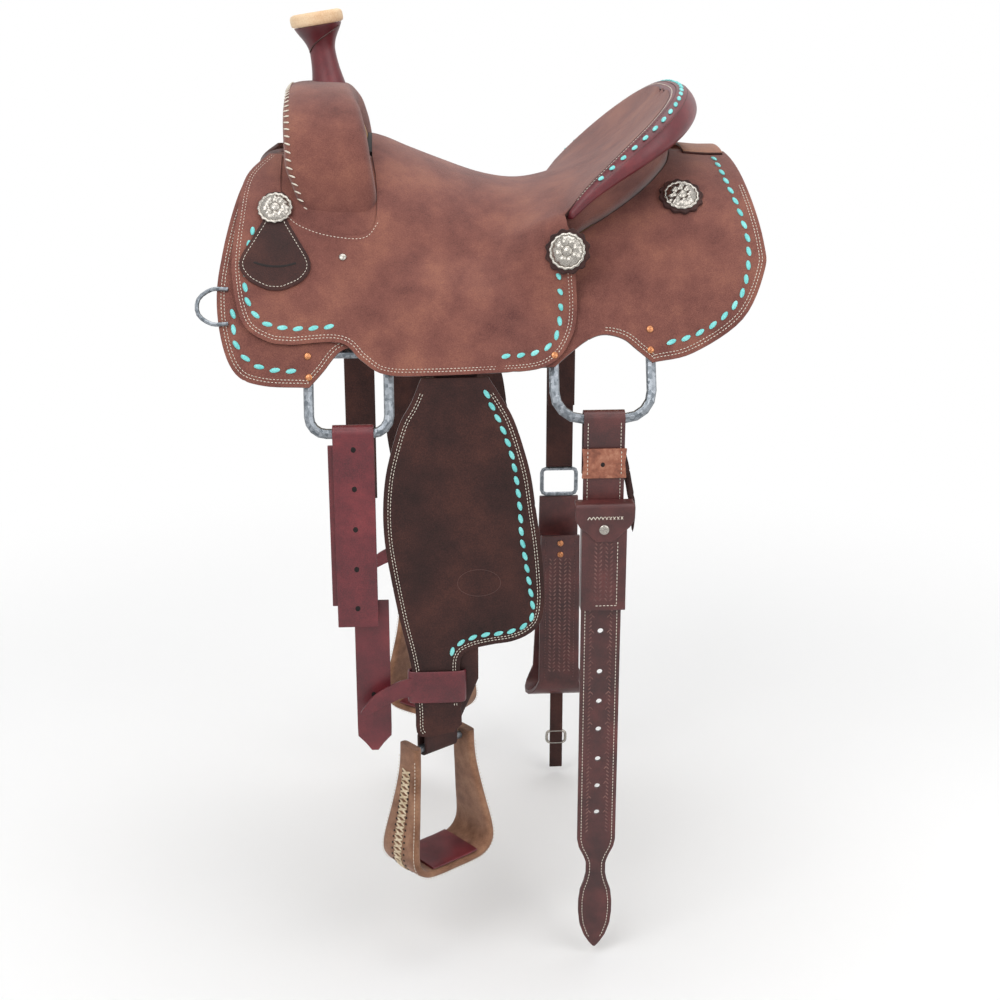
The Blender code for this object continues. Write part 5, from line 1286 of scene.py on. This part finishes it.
# Off side straps and flank cinch
# Dark billets hang from the off side's rings. The flank cinch is buckled to the rear one: a wide strap with a
# tooled end held by copper rivets, and a connecting strap with its small buckle below.
piece("off_front_billet", skinned("front_billet_off"), [dark_leather], "front_billet_off",
      ("front_billet_off",), edge=0.0007)
piece("off_rear_billet", skinned("rear_billet_off"), [dark_leather], "rear_billet_off",
      ("rear_billet_off",), edge=0.0007)
cinch = skinned("flank_cinch")
cinch_face = BVHTree.FromBMesh(cinch)
piece("flank_cinch_leather", cinch, [harness], "flank_cinch", ("flank_cinch",), edge=0.0010)


def cinch_lay(x, z, h=0.0):
    # The face turned to the near side, where the cinch's tooled end shows
    spot, normal = cinch_face.ray_cast(Vector((x, 0.0, z)), Vector((0.0, 1.0, 0.0)))[:2]
    return spot + normal * h if spot else Vector((x, 0.2510 - h, z))


stamp, seam, rivets = bmesh.new(), bmesh.new(), bmesh.new()
for x, tilt in ((0.113, 0.7), (0.120, -0.7), (0.128, 0.7), (0.136, -0.7), (0.143, 0.7)):
    column = [(x, -0.725 + 0.01 * k) for k in range(20)]
    sewn(stamp, stations(column, 0.0062, cinch_lay, -0.0001, tilt=tilt), (0.0068, 0.0024, 0.0012))
for x in (0.106, 0.150):
    stitch_row(seam, [(x, -0.735 + 0.01 * k) for k in range(24)], cinch_lay, pitch=0.0046, length=0.0036,
               lift=0.0002)
for z in (-0.512, -0.530):
    stud(rivets, BILLET_X, z, cinch_lay, 0.0095, 0.0034)
piece("cinch_stamping", stamp, [stamped], "flank_cinch", slot="burgundy")
piece("cinch_stitching", seam, [stamped], "flank_cinch", slot="burgundy")
piece("cinch_rivets", rivets, [copper], "flank_cinch", slot="galvanised")
piece("connecting_strap_leather", skinned("connecting_strap"), [dark_leather], "connecting_strap",
      ("connecting_strap",), edge=0.0007)
# The buckle's frame is a round bar bent to an oblong with round corners
BUCKLE_Y, BUCKLE_Z, BUCKLE_HALF_WIDTH, BUCKLE_HALF_HEIGHT, BUCKLE_BAR = 0.2535, -0.852, 0.0150, 0.0105, 0.0022
buckle = []
for a in round_turn(32):
    mid = Vector((BILLET_X + BUCKLE_HALF_WIDTH * squared(math.cos(a), 0.5), BUCKLE_Y,
                  BUCKLE_Z + BUCKLE_HALF_HEIGHT * squared(math.sin(a), 0.5)))
    away = Vector((math.cos(a), 0.0, math.sin(a)))
    buckle.append([mid + (away * math.cos(b) + Vector((0, 1, 0)) * math.sin(b)) * BUCKLE_BAR
                   for b in round_turn(10)])
piece("connecting_buckle", lofted(buckle, closed=True), [silver], "connecting_strap", slot="galvanised")

size = {"cad": [[float(c) for c in corner] for corner in cad_box]}
size["visual"] = [[float(c) for c in corner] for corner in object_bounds()]
